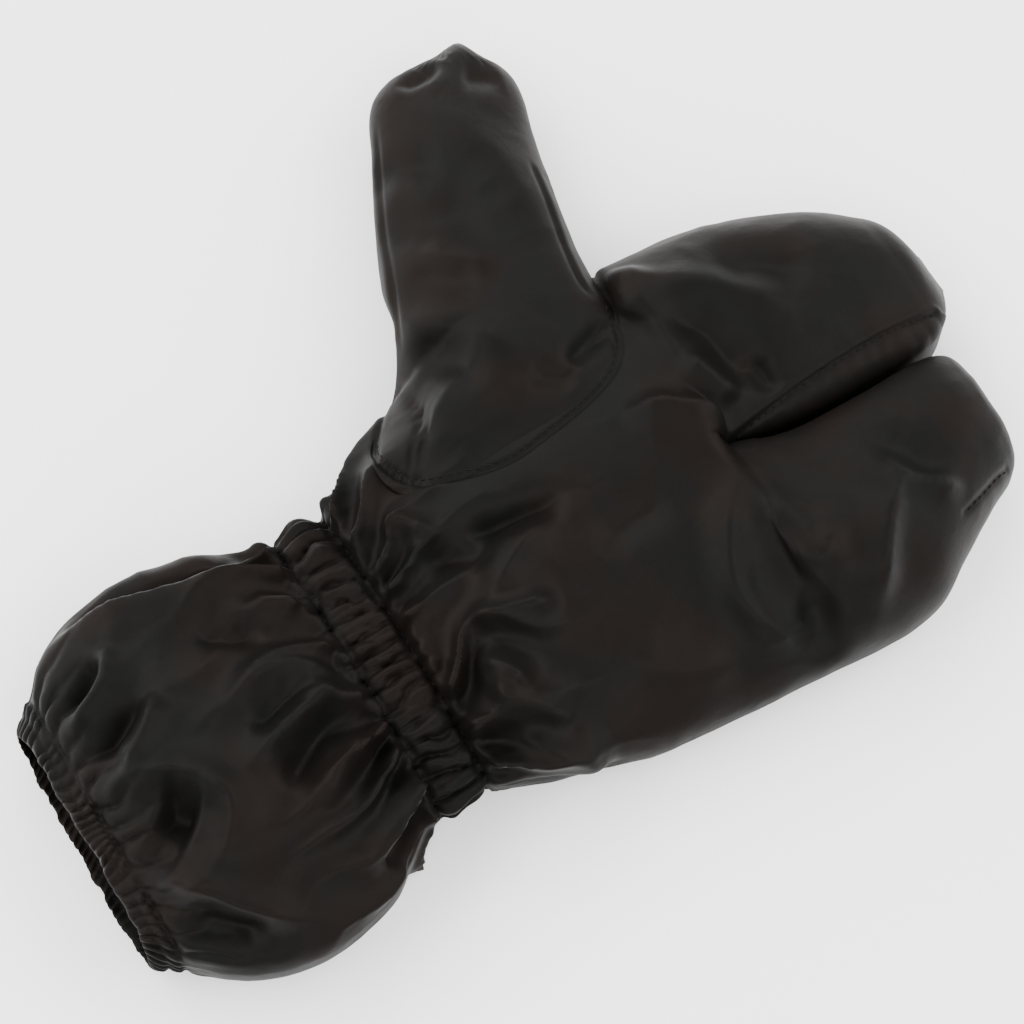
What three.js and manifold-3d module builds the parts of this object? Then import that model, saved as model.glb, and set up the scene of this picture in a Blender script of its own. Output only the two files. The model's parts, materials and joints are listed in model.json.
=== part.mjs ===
// A rain overmitt for the left hand, lying on its back with the palm up.
// Thin coated cloth: a palm panel and a back panel end in two finger compartments, with a gusset
// up the inner side of the index one, a two-panel thumb sewn on the palm, an elastic wrist band,
// a puffed gauntlet in two panels and a gathered elastic hem round the mouth. All of it is hollow.
// +X runs from the mouth to the fingertips, +Y to the thumb side, and +Z out of the palm.
import * as THREE from "three";
import Module from "manifold-3d";

const wasm = await Module();
wasm.setup();

// Driving sizes, in millimetres.
const WALL = 1.6; // cloth with its seam allowance
const SEAM_GAP = 0.3; // between two panels that are sewn together

const HAND_LENGTH = 144; // from the wrist band to the fork between the finger compartments
const HAND_HALF_WIDTH = 90;
const HAND_RISE = 39; // from the side seam to the top of the palm
const HAND_SEAM = 15; // height of the side seam over the surface that the mitt lies on
const INDEX_LENGTH = 112; // from the fork to the tip, for the index and middle fingers
const LITTLE_LENGTH = 99; // the same for the ring and little fingers
const FORK_SIDE = 4; // how far the fork lies to the thumb side
const FORK_VALLEY = 38; // length of the valley that runs from the fork into the palm

const THUMB_LENGTH = 126; // from the edge of the hand to the tip
const THUMB_HALF_WIDTH = 36;
const THUMB_RISE = 20;
const THUMB_TURN = 69; // degrees between the hand's axis and the thumb's
const THUMB_ALONG = 96; // where the thumb's axis crosses the edge of the hand
const THUMB_SIDE = 94;

const BAND_LENGTH = 21; // elastic wrist band
const WRIST_HALF_WIDTH = 61.8;
const WRIST_SIDE = 1.6; // how far its middle lies to the thumb side
const WRIST_RISE = 21;
const WRIST_SEAM = 23;
const WRIST_FLOOR = 4; // the wrist is narrower, so it lies clear of the surface
const BAND_BULGE = 1.4; // of the cloth between the band's two stitch lines
const BAND_RIB = 1.0; // half the height of a gathered rib

const GAUNTLET_LENGTH = 106;
const GAUNTLET_HALF_WIDTH = 84;
const GAUNTLET_SIDE = -3;
const GAUNTLET_RISE = 32;
const GAUNTLET_SEAM = 26;
const SEAM_PINCH = 5; // how far the gauntlet's side seams are drawn in

const HEM_LENGTH = 10;
const HEM_HALF_WIDTH = 58.5; // where the hem meets the gauntlet
const HEM_SIDE = -1.5;
const MOUTH_HALF_WIDTH = 50;
const MOUTH_LEAN = 3; // how far its lower edge reaches past its upper one
const MOUTH_RISE = 17;
const MOUTH_SEAM = 20;
const MOUTH_FLOOR = 2;
const HEM_RIB = 0.9;

const GATHER_DEPTH = 1.6; // of the folds that leave an elastic
const GATHER_REACH = 26; // how far they run
const UNDER_PUSH = 1.3; // how strongly the underside is pressed flat
const UNDER_FULLNESS = 0.62;

// Counts of ribs, rows and columns.
const BAND_RIBS = 28;
const HEM_RIBS = 28;
const RIB_COLUMNS = 4;
const PALM = { rows: 13, columns: 28, fingerRows: 8, gathers: 8 };
const BACK = { rows: 13, columns: 16, fingerRows: 8, gathers: 4 };
const GAUNTLET_FRONT = { rows: 10, columns: 26, gathers: 7 };
const GAUNTLET_BACK = { rows: 10, columns: 14, gathers: 4 };
const BAND_ROWS = 3;
const HEM_ROWS = 2;
const THUMB = { rows: 14, columns: 10 };
const GUSSET = { rows: 8, columns: 4, start: 0.2 };

// Sections of the hand. at: share of HAND_LENGTH. little, thumb: how far each edge has gone from
// the wrist's half width to the hand's. full: how far heights have gone from wrist to hand.
const HAND_SECTIONS = [
  { at: 0.0, little: 0.0, thumb: 0.0, full: 0.0 },
  { at: 0.09, little: 0.195, thumb: 0.35, full: 0.3 },
  { at: 0.16, little: 0.295, thumb: 0.64, full: 0.55 },
  { at: 0.3, little: 0.46, thumb: 0.97, full: 0.9 },
  { at: 0.44, little: 0.67, thumb: 1.06, full: 1.0 },
  { at: 0.72, little: 0.81, thumb: 1.13, full: 1.0 },
  { at: 1.0, little: 0.92, thumb: 1.25, full: 0.93 },
];

// Sections of a finger compartment. at: share of its length. inner: how far its edge at the fork
// has moved to the thumb side, in hand half widths. outer: the other edge, as a share of where it
// is at the fork. thick: share of the height at the fork.
const INDEX_SECTIONS = [
  { at: 0.0, inner: 0.0, outer: 1.0, thick: 1.0 },
  { at: 0.12, inner: -0.02, outer: 0.99, thick: 0.98 },
  { at: 0.26, inner: -0.04, outer: 0.99, thick: 0.95 },
  { at: 0.42, inner: -0.05, outer: 0.95, thick: 0.92 },
  { at: 0.58, inner: -0.05, outer: 0.88, thick: 0.87 },
  { at: 0.72, inner: -0.05, outer: 0.79, thick: 0.8 },
  { at: 0.84, inner: -0.02, outer: 0.655, thick: 0.68 },
  { at: 0.93, inner: 0.07, outer: 0.51, thick: 0.48 },
  { at: 1.0, inner: 0.19, outer: 0.3, thick: 0.0 },
];
const LITTLE_SECTIONS = [
  { at: 0.0, inner: 0.0, outer: 1.0, thick: 1.0 },
  { at: 0.12, inner: -0.05, outer: 1.025, thick: 0.98 },
  { at: 0.26, inner: -0.08, outer: 1.025, thick: 0.95 },
  { at: 0.42, inner: -0.085, outer: 0.97, thick: 0.92 },
  { at: 0.6, inner: -0.085, outer: 0.845, thick: 0.87 },
  { at: 0.78, inner: -0.09, outer: 0.725, thick: 0.78 },
  { at: 0.9, inner: -0.11, outer: 0.655, thick: 0.62 },
  { at: 0.96, inner: -0.16, outer: 0.59, thick: 0.42 },
  { at: 1.0, inner: -0.3, outer: 0.43, thick: 0.0 },
];

// Sections of the thumb. at: share of THUMB_LENGTH from the edge of the hand, so the rows on the
// palm are negative. index, wrist: the edge on that side, in thumb half widths. mid: height of the
// edge seam. rise, under: height above and below it. The last three are in THUMB_RISE.
const THUMB_SECTIONS = [
  { at: -0.56, index: -0.75, wrist: 1.0, mid: 2.2, rise: 0.1, under: 0.1 },
  { at: -0.52, index: -0.45, wrist: 1.28, mid: 2.2, rise: 0.36, under: 0.3 },
  { at: -0.45, index: -0.02, wrist: 1.44, mid: 2.17, rise: 0.5, under: 0.4 },
  { at: -0.34, index: 0.85, wrist: 1.46, mid: 2.14, rise: 0.6, under: 0.45 },
  { at: -0.22, index: 1.2, wrist: 1.32, mid: 2.05, rise: 0.7, under: 0.55 },
  { at: -0.1, index: 1.24, wrist: 1.12, mid: 1.9, rise: 0.83, under: 0.72 },
  { at: 0.04, index: 1.16, wrist: 0.99, mid: 1.7, rise: 0.95, under: 0.8 },
  { at: 0.2, index: 1.02, wrist: 1.0, mid: 1.47, rise: 1.03, under: 0.92 },
  { at: 0.4, index: 0.93, wrist: 1.03, mid: 1.25, rise: 1.05, under: 1.0 },
  { at: 0.65, index: 0.85, wrist: 0.98, mid: 1.08, rise: 1.02, under: 1.0 },
  { at: 0.82, index: 0.8, wrist: 0.87, mid: 0.98, rise: 0.92, under: 0.97 },
  { at: 0.91, index: 0.6, wrist: 0.68, mid: 0.93, rise: 0.7, under: 0.78 },
  { at: 0.96, index: 0.36, wrist: 0.26, mid: 0.9, rise: 0.42, under: 0.42 },
  { at: 1.0, index: 0.26, wrist: -0.08, mid: 0.88, rise: 0.0, under: 0.0 },
];

// Sections of the gauntlet. at: share of GAUNTLET_LENGTH from the wrist. puff: how far each size
// has gone from the line between wrist and hem to the gauntlet's own size.
const GAUNTLET_SECTIONS = [
  { at: 0.0, puff: 0.0 },
  { at: 0.06, puff: 0.1 },
  { at: 0.15, puff: 0.4 },
  { at: 0.25, puff: 0.66 },
  { at: 0.38, puff: 0.87 },
  { at: 0.53, puff: 1.0 },
  { at: 0.67, puff: 0.94 },
  { at: 0.81, puff: 0.72 },
  { at: 0.91, puff: 0.42 },
  { at: 1.0, puff: 0.0 },
];

// Folds. along: share of HAND_LENGTH from the wrist, or of GAUNTLET_LENGTH. side: towards the
// thumb, in hand or gauntlet half widths. turn: degrees from the hand's axis. reach, width: half
// sizes, and rise: height, all in hand or gauntlet rises. A negative rise is a dent.
const PALM_FOLDS = [
  { along: 0.76, side: 0.24, turn: -8, reach: 0.8, width: 0.19, rise: 0.08 },
  { along: 0.46, side: 0.28, turn: -14, reach: 0.85, width: 0.2, rise: -0.09 },
  { along: 1.12, side: 0.38, turn: -60, reach: 0.45, width: 0.24, rise: -0.12 },
  { along: 1.1, side: 0.14, turn: 75, reach: 0.4, width: 0.2, rise: 0.06 },
  { along: 0.83, side: -0.44, turn: 55, reach: 0.85, width: 0.18, rise: 0.09 },
  { along: 0.93, side: -0.52, turn: 68, reach: 0.7, width: 0.17, rise: -0.09 },
  { along: 1.03, side: -0.5, turn: 80, reach: 0.62, width: 0.17, rise: 0.08 },
  { along: 1.2, side: -0.82, turn: 45, reach: 0.7, width: 0.17, rise: 0.09 },
  { along: 1.33, side: -0.72, turn: 45, reach: 0.55, width: 0.18, rise: -0.09 },
  { along: 0.6, side: -0.3, turn: 25, reach: 0.8, width: 0.3, rise: -0.07 },
  { along: 0.3, side: -0.5, turn: -10, reach: 0.8, width: 0.22, rise: -0.07 },
];
const GAUNTLET_FOLDS = [
  { along: 0.86, side: -0.05, turn: -25, reach: 0.6, width: 0.26, rise: 0.1 },
  { along: 0.66, side: -0.25, turn: 80, reach: 0.6, width: 0.26, rise: 0.12 },
  { along: 0.8, side: -0.25, turn: 20, reach: 0.45, width: 0.3, rise: -0.13 },
  { along: 0.72, side: -0.72, turn: 40, reach: 0.7, width: 0.24, rise: 0.1 },
  { along: 0.45, side: 0.62, turn: -10, reach: 1.1, width: 0.22, rise: -0.1 },
  { along: 0.33, side: 0.12, turn: 15, reach: 0.7, width: 0.24, rise: -0.09 },
  { along: 0.3, side: -0.35, turn: 35, reach: 0.8, width: 0.2, rise: 0.08 },
];

const TURN = Math.PI; // half a turn
const mix = (a, b, share) => a + (b - a) * share;
const clamp = (value) => Math.min(1, Math.max(0, value));
const smooth = (value) => clamp(value) ** 2 * (3 - 2 * clamp(value));

// Reads a column of a table at a share, along a smooth curve through its rows.
function read(table, column, at) {
  const last = table.length - 1;
  if (at <= table[0].at) return table[0][column];
  if (at >= table[last].at) return table[last][column];
  const next = table.findIndex((row) => row.at > at);
  const slope = (row) => {
    const before = table[Math.max(row - 1, 0)];
    const after = table[Math.min(row + 1, last)];
    return (after[column] - before[column]) / (after.at - before.at);
  };
  const from = table[next - 1];
  const to = table[next];
  const span = to.at - from.at;
  const t = (at - from.at) / span;
  return (
    (2 * t ** 3 - 3 * t ** 2 + 1) * from[column] +
    (t ** 3 - 2 * t ** 2 + t) * span * slope(next - 1) +
    (3 * t ** 2 - 2 * t ** 3) * to[column] +
    (t ** 3 - t ** 2) * span * slope(next)
  );
}

// A point round a section. Angle 0 is the little-finger side, a quarter turn the palm, half a
// turn the thumb side, and negative angles go round underneath.
function around(section, angle) {
  const y = mix(section.low, section.high, (1 - Math.cos(angle)) / 2);
  const lift = Math.sin(angle);
  if (lift >= 0) return [y, section.seam + section.rise * lift];
  const drop = (section.seam - section.floor) * UNDER_PUSH * (-lift) ** UNDER_FULLNESS;
  return [y, Math.max(section.floor, section.seam - drop)];
}

// Height that a table of folds adds at a place on the palm side.
function foldHeight(folds, x, y, length, halfWidth, height) {
  let total = 0;
  for (const fold of folds) {
    const turn = THREE.MathUtils.degToRad(fold.turn);
    const dx = x - fold.along * length;
    const dy = y - fold.side * halfWidth;
    const along = (dx * Math.cos(turn) + dy * Math.sin(turn)) / (fold.reach * height);
    const across = (dy * Math.cos(turn) - dx * Math.sin(turn)) / (fold.width * height);
    total += fold.rise * height * Math.exp(-(along ** 2) - across ** 2);
  }
  return total;
}

// Push that the gathers beside an elastic give, which fades away from it.
function gatherPush(distance, angle, gathers) {
  const fade = Math.exp(-distance / GATHER_REACH);
  return GATHER_DEPTH * fade * Math.cos(2 * gathers * angle);
}

const wristSection = {
  low: WRIST_SIDE - WRIST_HALF_WIDTH,
  high: WRIST_SIDE + WRIST_HALF_WIDTH,
  seam: WRIST_SEAM,
  rise: WRIST_RISE,
  floor: WRIST_FLOOR,
};
const hemSection = {
  low: HEM_SIDE - HEM_HALF_WIDTH,
  high: HEM_SIDE + HEM_HALF_WIDTH,
  seam: mix(MOUTH_SEAM, GAUNTLET_SEAM, 0.25),
  rise: mix(MOUTH_RISE, GAUNTLET_RISE, 0.2),
  floor: MOUTH_FLOOR * 0.5,
};
const mouthSection = {
  low: HEM_SIDE - MOUTH_HALF_WIDTH,
  high: HEM_SIDE + MOUTH_HALF_WIDTH,
  seam: MOUTH_SEAM,
  rise: MOUTH_RISE,
  floor: MOUTH_FLOOR,
};

function mixSections(a, b, share) {
  return Object.fromEntries(Object.keys(a).map((key) => [key, mix(a[key], b[key], share)]));
}

function handSection(x) {
  const at = x / HAND_LENGTH;
  const full = read(HAND_SECTIONS, "full", at);
  return {
    low: mix(wristSection.low, -HAND_HALF_WIDTH, read(HAND_SECTIONS, "little", at)),
    high: mix(wristSection.high, HAND_HALF_WIDTH, read(HAND_SECTIONS, "thumb", at)),
    seam: mix(WRIST_SEAM, HAND_SEAM, full),
    rise: mix(WRIST_RISE, HAND_RISE, full),
    floor: WRIST_FLOOR * (1 - smooth(at * 4)),
  };
}

const forkSection = handSection(HAND_LENGTH);

function fingerSection(finger, at) {
  const inner = FORK_SIDE + HAND_HALF_WIDTH * read(finger.sections, "inner", at);
  const outer = forkSection[finger.edge] * read(finger.sections, "outer", at);
  const thick = read(finger.sections, "thick", at);
  return {
    low: Math.min(inner, outer),
    high: Math.max(inner, outer),
    seam: forkSection.seam,
    rise: forkSection.rise * thick,
    floor: forkSection.seam * (1 - smooth(thick * 2)),
  };
}

const INDEX = { sections: INDEX_SECTIONS, length: INDEX_LENGTH, edge: "high" };
const LITTLE = { sections: LITTLE_SECTIONS, length: LITTLE_LENGTH, edge: "low" };

function palmFold(x, y, angle) {
  const height = foldHeight(PALM_FOLDS, x, y, HAND_LENGTH, HAND_HALF_WIDTH, HAND_RISE);
  return angle > 0 ? height * Math.sin(angle) ** 2 : 0;
}

// A point of the hand before the fork. column goes from 0 at the little-finger side to 1.
function handPlace(x, column, side, gathers) {
  const section = handSection(x);
  const angle = side * TURN * column;
  const whole = around(section, angle);
  const low = column <= 0.5;
  const half = low ? { ...section, high: FORK_SIDE } : { ...section, low: FORK_SIDE };
  const part = around(half, side * TURN * (low ? 2 * column : 2 * column - 1));
  const share = smooth((x - HAND_LENGTH + FORK_VALLEY) / FORK_VALLEY) ** 2;
  const y = mix(whole[0], part[0], share);
  const push = gatherPush(x, angle, gathers) * Math.sin(TURN * column) * side;
  const z = mix(whole[1], part[1], share) + palmFold(x, y, angle);
  return new THREE.Vector3(x, y, Math.max(z + push, section.floor));
}

function handWall(x, column, side, gathers) {
  const place = (u, v) => handPlace(u, (v * side) / TURN, side, gathers);
  return wallAt(place, x, side * TURN * column, 0, HAND_LENGTH / 10);
}

function fingerPlace(finger, at, angle) {
  const [y, z] = around(fingerSection(finger, at), angle);
  const x = HAND_LENGTH + finger.length * at;
  const fade = 1 - smooth(at * 4 - 3);
  return new THREE.Vector3(x, y, z + palmFold(x, y, angle) * fade);
}

const STEP = 0.004; // of a share or an angle, for measuring a surface's slope

// The outer and inner points of a wall at u, v. level 0 keeps the inner point at the same
// station, and 1 sets it square to the surface.
function wallAt(place, u, v, level, unit = 1) {
  const outer = place(u, v);
  const along = place(u + STEP * unit, v).sub(place(u - STEP * unit, v));
  const across = place(u, v + STEP).sub(place(u, v - STEP));
  const normal = along.cross(across);
  normal.x *= level;
  normal.normalize();
  return { outer, inner: outer.clone().addScaledVector(normal, -WALL) };
}

// Sets a wall's inner point level with its outer one, where two panels meet in a seam.
function levelRim({ outer, inner }) {
  const inwards = inner.clone().sub(outer).setZ(0).setLength(WALL);
  return { outer, inner: outer.clone().add(inwards) };
}

// Moves a wall away from the seam plane by half of the gap that two sewn panels keep.
function parted({ outer, inner }, side) {
  for (const point of [outer, inner]) point.z += (side * SEAM_GAP) / 2;
  if (side < 0) outer.z = Math.max(outer.z, 0);
  return { outer, inner };
}

// Two triangles for a quad, split along its shorter diagonal.
function splitQuad([a, b, c, d], placeOf) {
  const short = placeOf(a).distanceTo(placeOf(c)) <= placeOf(b).distanceTo(placeOf(d));
  return short ? [[a, b, c], [a, c, d]] : [[a, b, d], [b, c, d]];
}

// A closed body from quads over points that each have an outer and an inner place.
function thickSheet(points, quads) {
  const count = points.length;
  const triangles = [];
  const edges = new Map();
  for (const quad of quads) {
    for (const [a, b, c] of splitQuad(quad, (id) => points[id].outer)) {
      triangles.push([a, b, c], [a + count, c + count, b + count]);
    }
    const [a, b, c, d] = quad;
    for (const [from, to] of [[a, b], [b, c], [c, d], [d, a]]) {
      if (!edges.delete(`${to},${from}`)) edges.set(`${from},${to}`, [from, to]);
    }
  }
  for (const [from, to] of edges.values()) {
    triangles.push([from, from + count, to + count], [from, to + count, to]);
  }
  const places = [...points.map((p) => p.outer), ...points.map((p) => p.inner)];
  return solid(places, triangles);
}

function solid(places, triangles) {
  const make = (list) =>
    new wasm.Manifold(
      new wasm.Mesh({
        numProp: 3,
        vertProperties: new Float32Array(places.flatMap((p) => p.toArray())),
        triVerts: new Uint32Array(list.flat()),
      }),
    );
  const body = make(triangles);
  return body.volume() > 0 ? body : make(triangles.map(([a, b, c]) => [a, c, b]));
}

// A grid of points as one sheet. closed joins the last column to the first.
function gridSheet(rows, columns, pointAt, closed = false) {
  const width = closed ? columns : columns + 1;
  const points = [];
  for (let row = 0; row <= rows; row++) {
    for (let column = 0; column < width; column++) points.push(pointAt(row, column));
  }
  const quads = [];
  const id = (row, column) => row * width + (column % width);
  for (let row = 0; row < rows; row++) {
    for (let column = 0; column < columns; column++) {
      quads.push([
        id(row, column),
        id(row, column + 1),
        id(row + 1, column + 1),
        id(row + 1, column),
      ]);
    }
  }
  return thickSheet(points, quads);
}

// A closed body inside a grid of rings, with a flat fan on each end.
function filled(rings) {
  const width = rings[0].length;
  const places = rings.flat();
  const id = (row, column) => row * width + (column % width);
  const triangles = [];
  for (let row = 0; row < rings.length - 1; row++) {
    for (let column = 0; column < width; column++) {
      const [a, b] = [id(row, column), id(row, column + 1)];
      const [c, d] = [id(row + 1, column + 1), id(row + 1, column)];
      triangles.push(...splitQuad([a, b, c, d], (index) => places[index]));
    }
  }
  for (let column = 1; column < width - 1; column++) {
    triangles.push([id(0, 0), id(0, column + 1), id(0, column)]);
    const end = rings.length - 1;
    triangles.push([id(end, 0), id(end, column), id(end, column + 1)]);
  }
  return solid(places, triangles);
}

const fingerShare = (row, rows) => Math.sin((TURN / 2) * (row / rows));

// Where the gusset's edges lie on the index compartment's inner side, as angles at its widest.
const GUSSET_TOP = 0.62;
const GUSSET_UNDER = 0.4;
const gussetSpread = (at) => smooth(at * 4.5) * smooth((1 - at) * 20);

function fingerWall(finger, at, angle) {
  return wallAt((u, v) => fingerPlace(finger, u, v), at, angle, at ** 2);
}

function forkWall() {
  const outer = new THREE.Vector3(HAND_LENGTH, FORK_SIDE, forkSection.seam);
  return { outer, inner: outer.clone().setX(HAND_LENGTH - WALL) };
}

// The palm or back panel, with both finger compartments. A column is shared by both at the fork.
function handPanel(side, plan) {
  const { rows, columns, fingerRows, gathers } = plan;
  const points = [];
  const ids = new Map();
  const add = (key, make) => {
    if (!ids.has(key)) ids.set(key, points.push(parted(make(), side)) - 1);
    return ids.get(key);
  };
  const split = columns / 2;
  const hand = (row, column) =>
    add(`hand ${row} ${column}`, () => {
      const from = SEAM_GAP / 2;
      const x = mix(from, HAND_LENGTH, row / rows);
      if (row === rows && column === split) return forkWall();
      const wall = handWall(x, column / columns, side, gathers);
      return column % columns === 0 ? levelRim(wall) : wall;
    });
  const fingerCell = (finger, row, column) => {
    if (row === 0) return hand(rows, column);
    const at = fingerShare(row, fingerRows);
    const share = finger === LITTLE ? column / split : (column - split) / (columns - split);
    const gusset = side > 0 ? GUSSET_TOP : GUSSET_UNDER;
    const start = finger === INDEX ? gusset * gussetSpread(at) : 0;
    const angle = side * mix(start, TURN, share);
    return add(`${finger.edge} ${row} ${column}`, () => {
      const wall = fingerWall(finger, at, angle);
      const rim = row === fingerRows || share === 1 || (!start && share === 0);
      return rim ? levelRim(wall) : wall;
    });
  };
  const quads = [];
  const fill = (rowCount, from, to, cell) => {
    for (let row = 0; row < rowCount; row++) {
      for (let column = from; column < to; column++) {
        quads.push([
          cell(row, column),
          cell(row, column + 1),
          cell(row + 1, column + 1),
          cell(row + 1, column),
        ]);
      }
    }
  };
  fill(rows, 0, columns, hand);
  fill(fingerRows, 0, split, (row, column) => fingerCell(LITTLE, row, column));
  fill(fingerRows, split, columns, (row, column) => fingerCell(INDEX, row, column));
  return thickSheet(points, quads);
}

// The strip between palm and back panel on the index compartment's inner side. Its first row
// stands a little way out of the fork, where the two panels part.
function fingerGusset() {
  const { rows, columns, start } = GUSSET;
  const trim = SEAM_GAP / forkSection.rise;
  return gridSheet(rows - 1, columns, (row, column) => {
    const at = fingerShare(Math.max(row, 1), rows);
    const top = GUSSET_TOP * gussetSpread(at) - trim;
    const under = GUSSET_UNDER * gussetSpread(at) - trim * 2;
    const wall = fingerWall(INDEX, at, mix(-under, top, column / columns));
    if (row > 0) return wall;
    const fork = forkWall();
    const narrowed = (column / columns - 0.5) * SEAM_GAP;
    return {
      outer: fork.outer.lerp(wall.outer, start).setZ(fork.outer.z - narrowed),
      inner: fork.inner.lerp(wall.inner, start).setZ(fork.inner.z - narrowed),
    };
  });
}

// The hand's whole space inside its outer face, grown by a gap, for trimming the thumb.
function handSpace(grow) {
  const grown = (x, column, side, plan) => {
    const { outer, inner } = parted(handWall(x, column, side, plan.gathers), side);
    return outer.add(outer.clone().sub(inner).setLength(grow));
  };
  const rings = [];
  for (let row = 0; row <= PALM.rows; row++) {
    const x = mix(SEAM_GAP / 2, HAND_LENGTH, row / PALM.rows);
    const ring = [];
    for (let column = 0; column <= PALM.columns; column++) {
      ring.push(grown(x, column / PALM.columns, 1, PALM));
    }
    for (let column = BACK.columns; column >= 0; column--) {
      ring.push(grown(x, column / BACK.columns, -1, BACK));
    }
    rings.push(ring);
  }
  return filled(rings);
}

const thumbTurn = THREE.MathUtils.degToRad(THUMB_TURN);

// A point of the thumb. at: share of its length. Angle 0 is the index side.
function thumbPlace(at, angle) {
  const size = (column) => THUMB_HALF_WIDTH * read(THUMB_SECTIONS, column, at);
  const height = (column) => THUMB_RISE * read(THUMB_SECTIONS, column, at);
  const side = mix(-size("index"), size("wrist"), (1 - Math.cos(angle)) / 2);
  const lift = Math.sin(angle);
  const reach = lift > 0 ? height("rise") * lift ** 0.9 : -height("under") * (-lift) ** 0.75;
  const along = THUMB_LENGTH * at;
  return new THREE.Vector3(
    THUMB_ALONG + along * Math.cos(thumbTurn) - side * Math.sin(thumbTurn),
    THUMB_SIDE + along * Math.sin(thumbTurn) + side * Math.cos(thumbTurn),
    Math.max(0, height("mid") + reach),
  );
}

const thumbFirst = THUMB_SECTIONS[0].at;

function thumbShare(row) {
  const share = row / THUMB.rows;
  return mix(thumbFirst, 1, mix(share, Math.sin((TURN / 2) * share), 0.5));
}

function thumbWall(at, angle) {
  const outer = thumbPlace(at, angle);
  const along = thumbPlace(at + STEP, angle).sub(thumbPlace(at - STEP, angle));
  const across = thumbPlace(at, angle + STEP).sub(thumbPlace(at, angle - STEP));
  const normal = along.cross(across).normalize();
  return { outer, inner: outer.clone().addScaledVector(normal, -WALL) };
}

// The upper or lower panel of the thumb, before the hand trims its foot.
function thumbPanel(side) {
  return gridSheet(THUMB.rows, THUMB.columns, (row, column) => {
    const wall = thumbWall(thumbShare(row), (side * TURN * column) / THUMB.columns);
    const rim = column % THUMB.columns === 0 || row === THUMB.rows;
    return parted(rim ? levelRim(wall) : wall, side);
  });
}

// The thumb's space inside its inner face, which opens the palm panel.
function thumbSpace() {
  const rings = [];
  for (let row = 1; row < THUMB.rows; row++) {
    const at = thumbShare(row);
    rings.push(
      Array.from({ length: 2 * THUMB.columns }, (_, index) => {
        const angle = (TURN * index) / THUMB.columns;
        return thumbWall(at, angle > TURN ? angle - 2 * TURN : angle).inner;
      }),
    );
  }
  return filled(rings);
}

function gauntletSection(x) {
  const at = -(x + BAND_LENGTH) / GAUNTLET_LENGTH;
  const puffed = {
    low: GAUNTLET_SIDE - GAUNTLET_HALF_WIDTH,
    high: GAUNTLET_SIDE + GAUNTLET_HALF_WIDTH,
    seam: GAUNTLET_SEAM,
    rise: GAUNTLET_RISE,
    floor: 0,
  };
  const straight = mixSections(wristSection, hemSection, clamp(at));
  const section = mixSections(straight, puffed, read(GAUNTLET_SECTIONS, "puff", at));
  return { ...section, floor: straight.floor * (1 - smooth(Math.sin(TURN * clamp(at)) * 2)) };
}

function gauntletPlace(x, angle, gathers) {
  const section = gauntletSection(x);
  const [y, z] = around(section, angle);
  const lift = Math.abs(Math.sin(angle));
  const at = clamp(-(x + BAND_LENGTH) / GAUNTLET_LENGTH);
  const pinch = SEAM_PINCH * Math.exp(-((lift * 3.2) ** 2)) * Math.sin(TURN * at);
  const wrist = gatherPush(GAUNTLET_LENGTH * at, angle, gathers);
  const hem = gatherPush(GAUNTLET_LENGTH * (1 - at), angle + 1, gathers);
  const along = at * GAUNTLET_LENGTH;
  const fold = foldHeight(
    GAUNTLET_FOLDS, along, y, GAUNTLET_LENGTH, GAUNTLET_HALF_WIDTH, GAUNTLET_RISE,
  );
  const raised = angle > 0 ? fold * lift ** 2 * smooth(Math.sin(TURN * at) * 2) : 0;
  const push = (wrist + hem) * lift * Math.sign(angle) + raised;
  return new THREE.Vector3(x, y - pinch * Math.sign(y), Math.max(z + push, section.floor));
}

function gauntletPanel(side, plan) {
  const { rows, columns, gathers } = plan;
  const from = -BAND_LENGTH - SEAM_GAP / 2;
  const to = -BAND_LENGTH - GAUNTLET_LENGTH + SEAM_GAP / 2;
  return gridSheet(rows, columns, (row, column) => {
    const share = row / rows;
    const x = mix(to, from, share);
    const place = (u, v) => gauntletPlace(u, v, gathers);
    const wall = wallAt(place, x, (side * TURN * column) / columns, 0, GAUNTLET_LENGTH / 10);
    return parted(column % columns === 0 ? levelRim(wall) : wall, side);
  });
}

// A closed ring of ribbed cloth from one station to another. sizes gives its section and its
// extra push by the share along it.
function ribbedRing(from, to, rows, ribs, rib, sizes) {
  const columns = ribs * RIB_COLUMNS;
  const place = (share, angle) => {
    const { section, lean } = sizes(share);
    const [y, z] = around(section, angle);
    return new THREE.Vector3(mix(from, to, share) + lean * Math.sin(angle), y, z);
  };
  // Columns are spaced evenly along the section's own length, so that the ribs are even.
  const samples = 720;
  const walk = [0];
  for (let index = 1; index <= samples; index++) {
    const here = place(0.5, (2 * TURN * index) / samples - TURN);
    const before = place(0.5, (2 * TURN * (index - 1)) / samples - TURN);
    walk.push(walk[index - 1] + here.distanceTo(before));
  }
  const angleAt = (share) => {
    const index = walk.findIndex((length) => length >= share * walk[samples]);
    return (2 * TURN * index) / samples - TURN;
  };
  return gridSheet(
    rows,
    columns,
    (row, column) => {
      const share = row / rows;
      const angle = angleAt(column / columns);
      const wall = wallAt(place, share, angle, 0);
      const outwards = wall.outer.clone().sub(wall.inner).normalize();
      const wave = rib * Math.cos((2 * TURN * column) / RIB_COLUMNS);
      const push = outwards.multiplyScalar(sizes(share).push + wave);
      wall.outer.add(push);
      wall.inner.add(push);
      return wall;
    },
    true,
  );
}

function wristBand() {
  return ribbedRing(-BAND_LENGTH, 0, BAND_ROWS, BAND_RIBS, BAND_RIB, (share) => ({
    section: wristSection,
    lean: 0,
    push: BAND_BULGE * (Math.sin(TURN * share) - 0.5),
  }));
}

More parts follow.
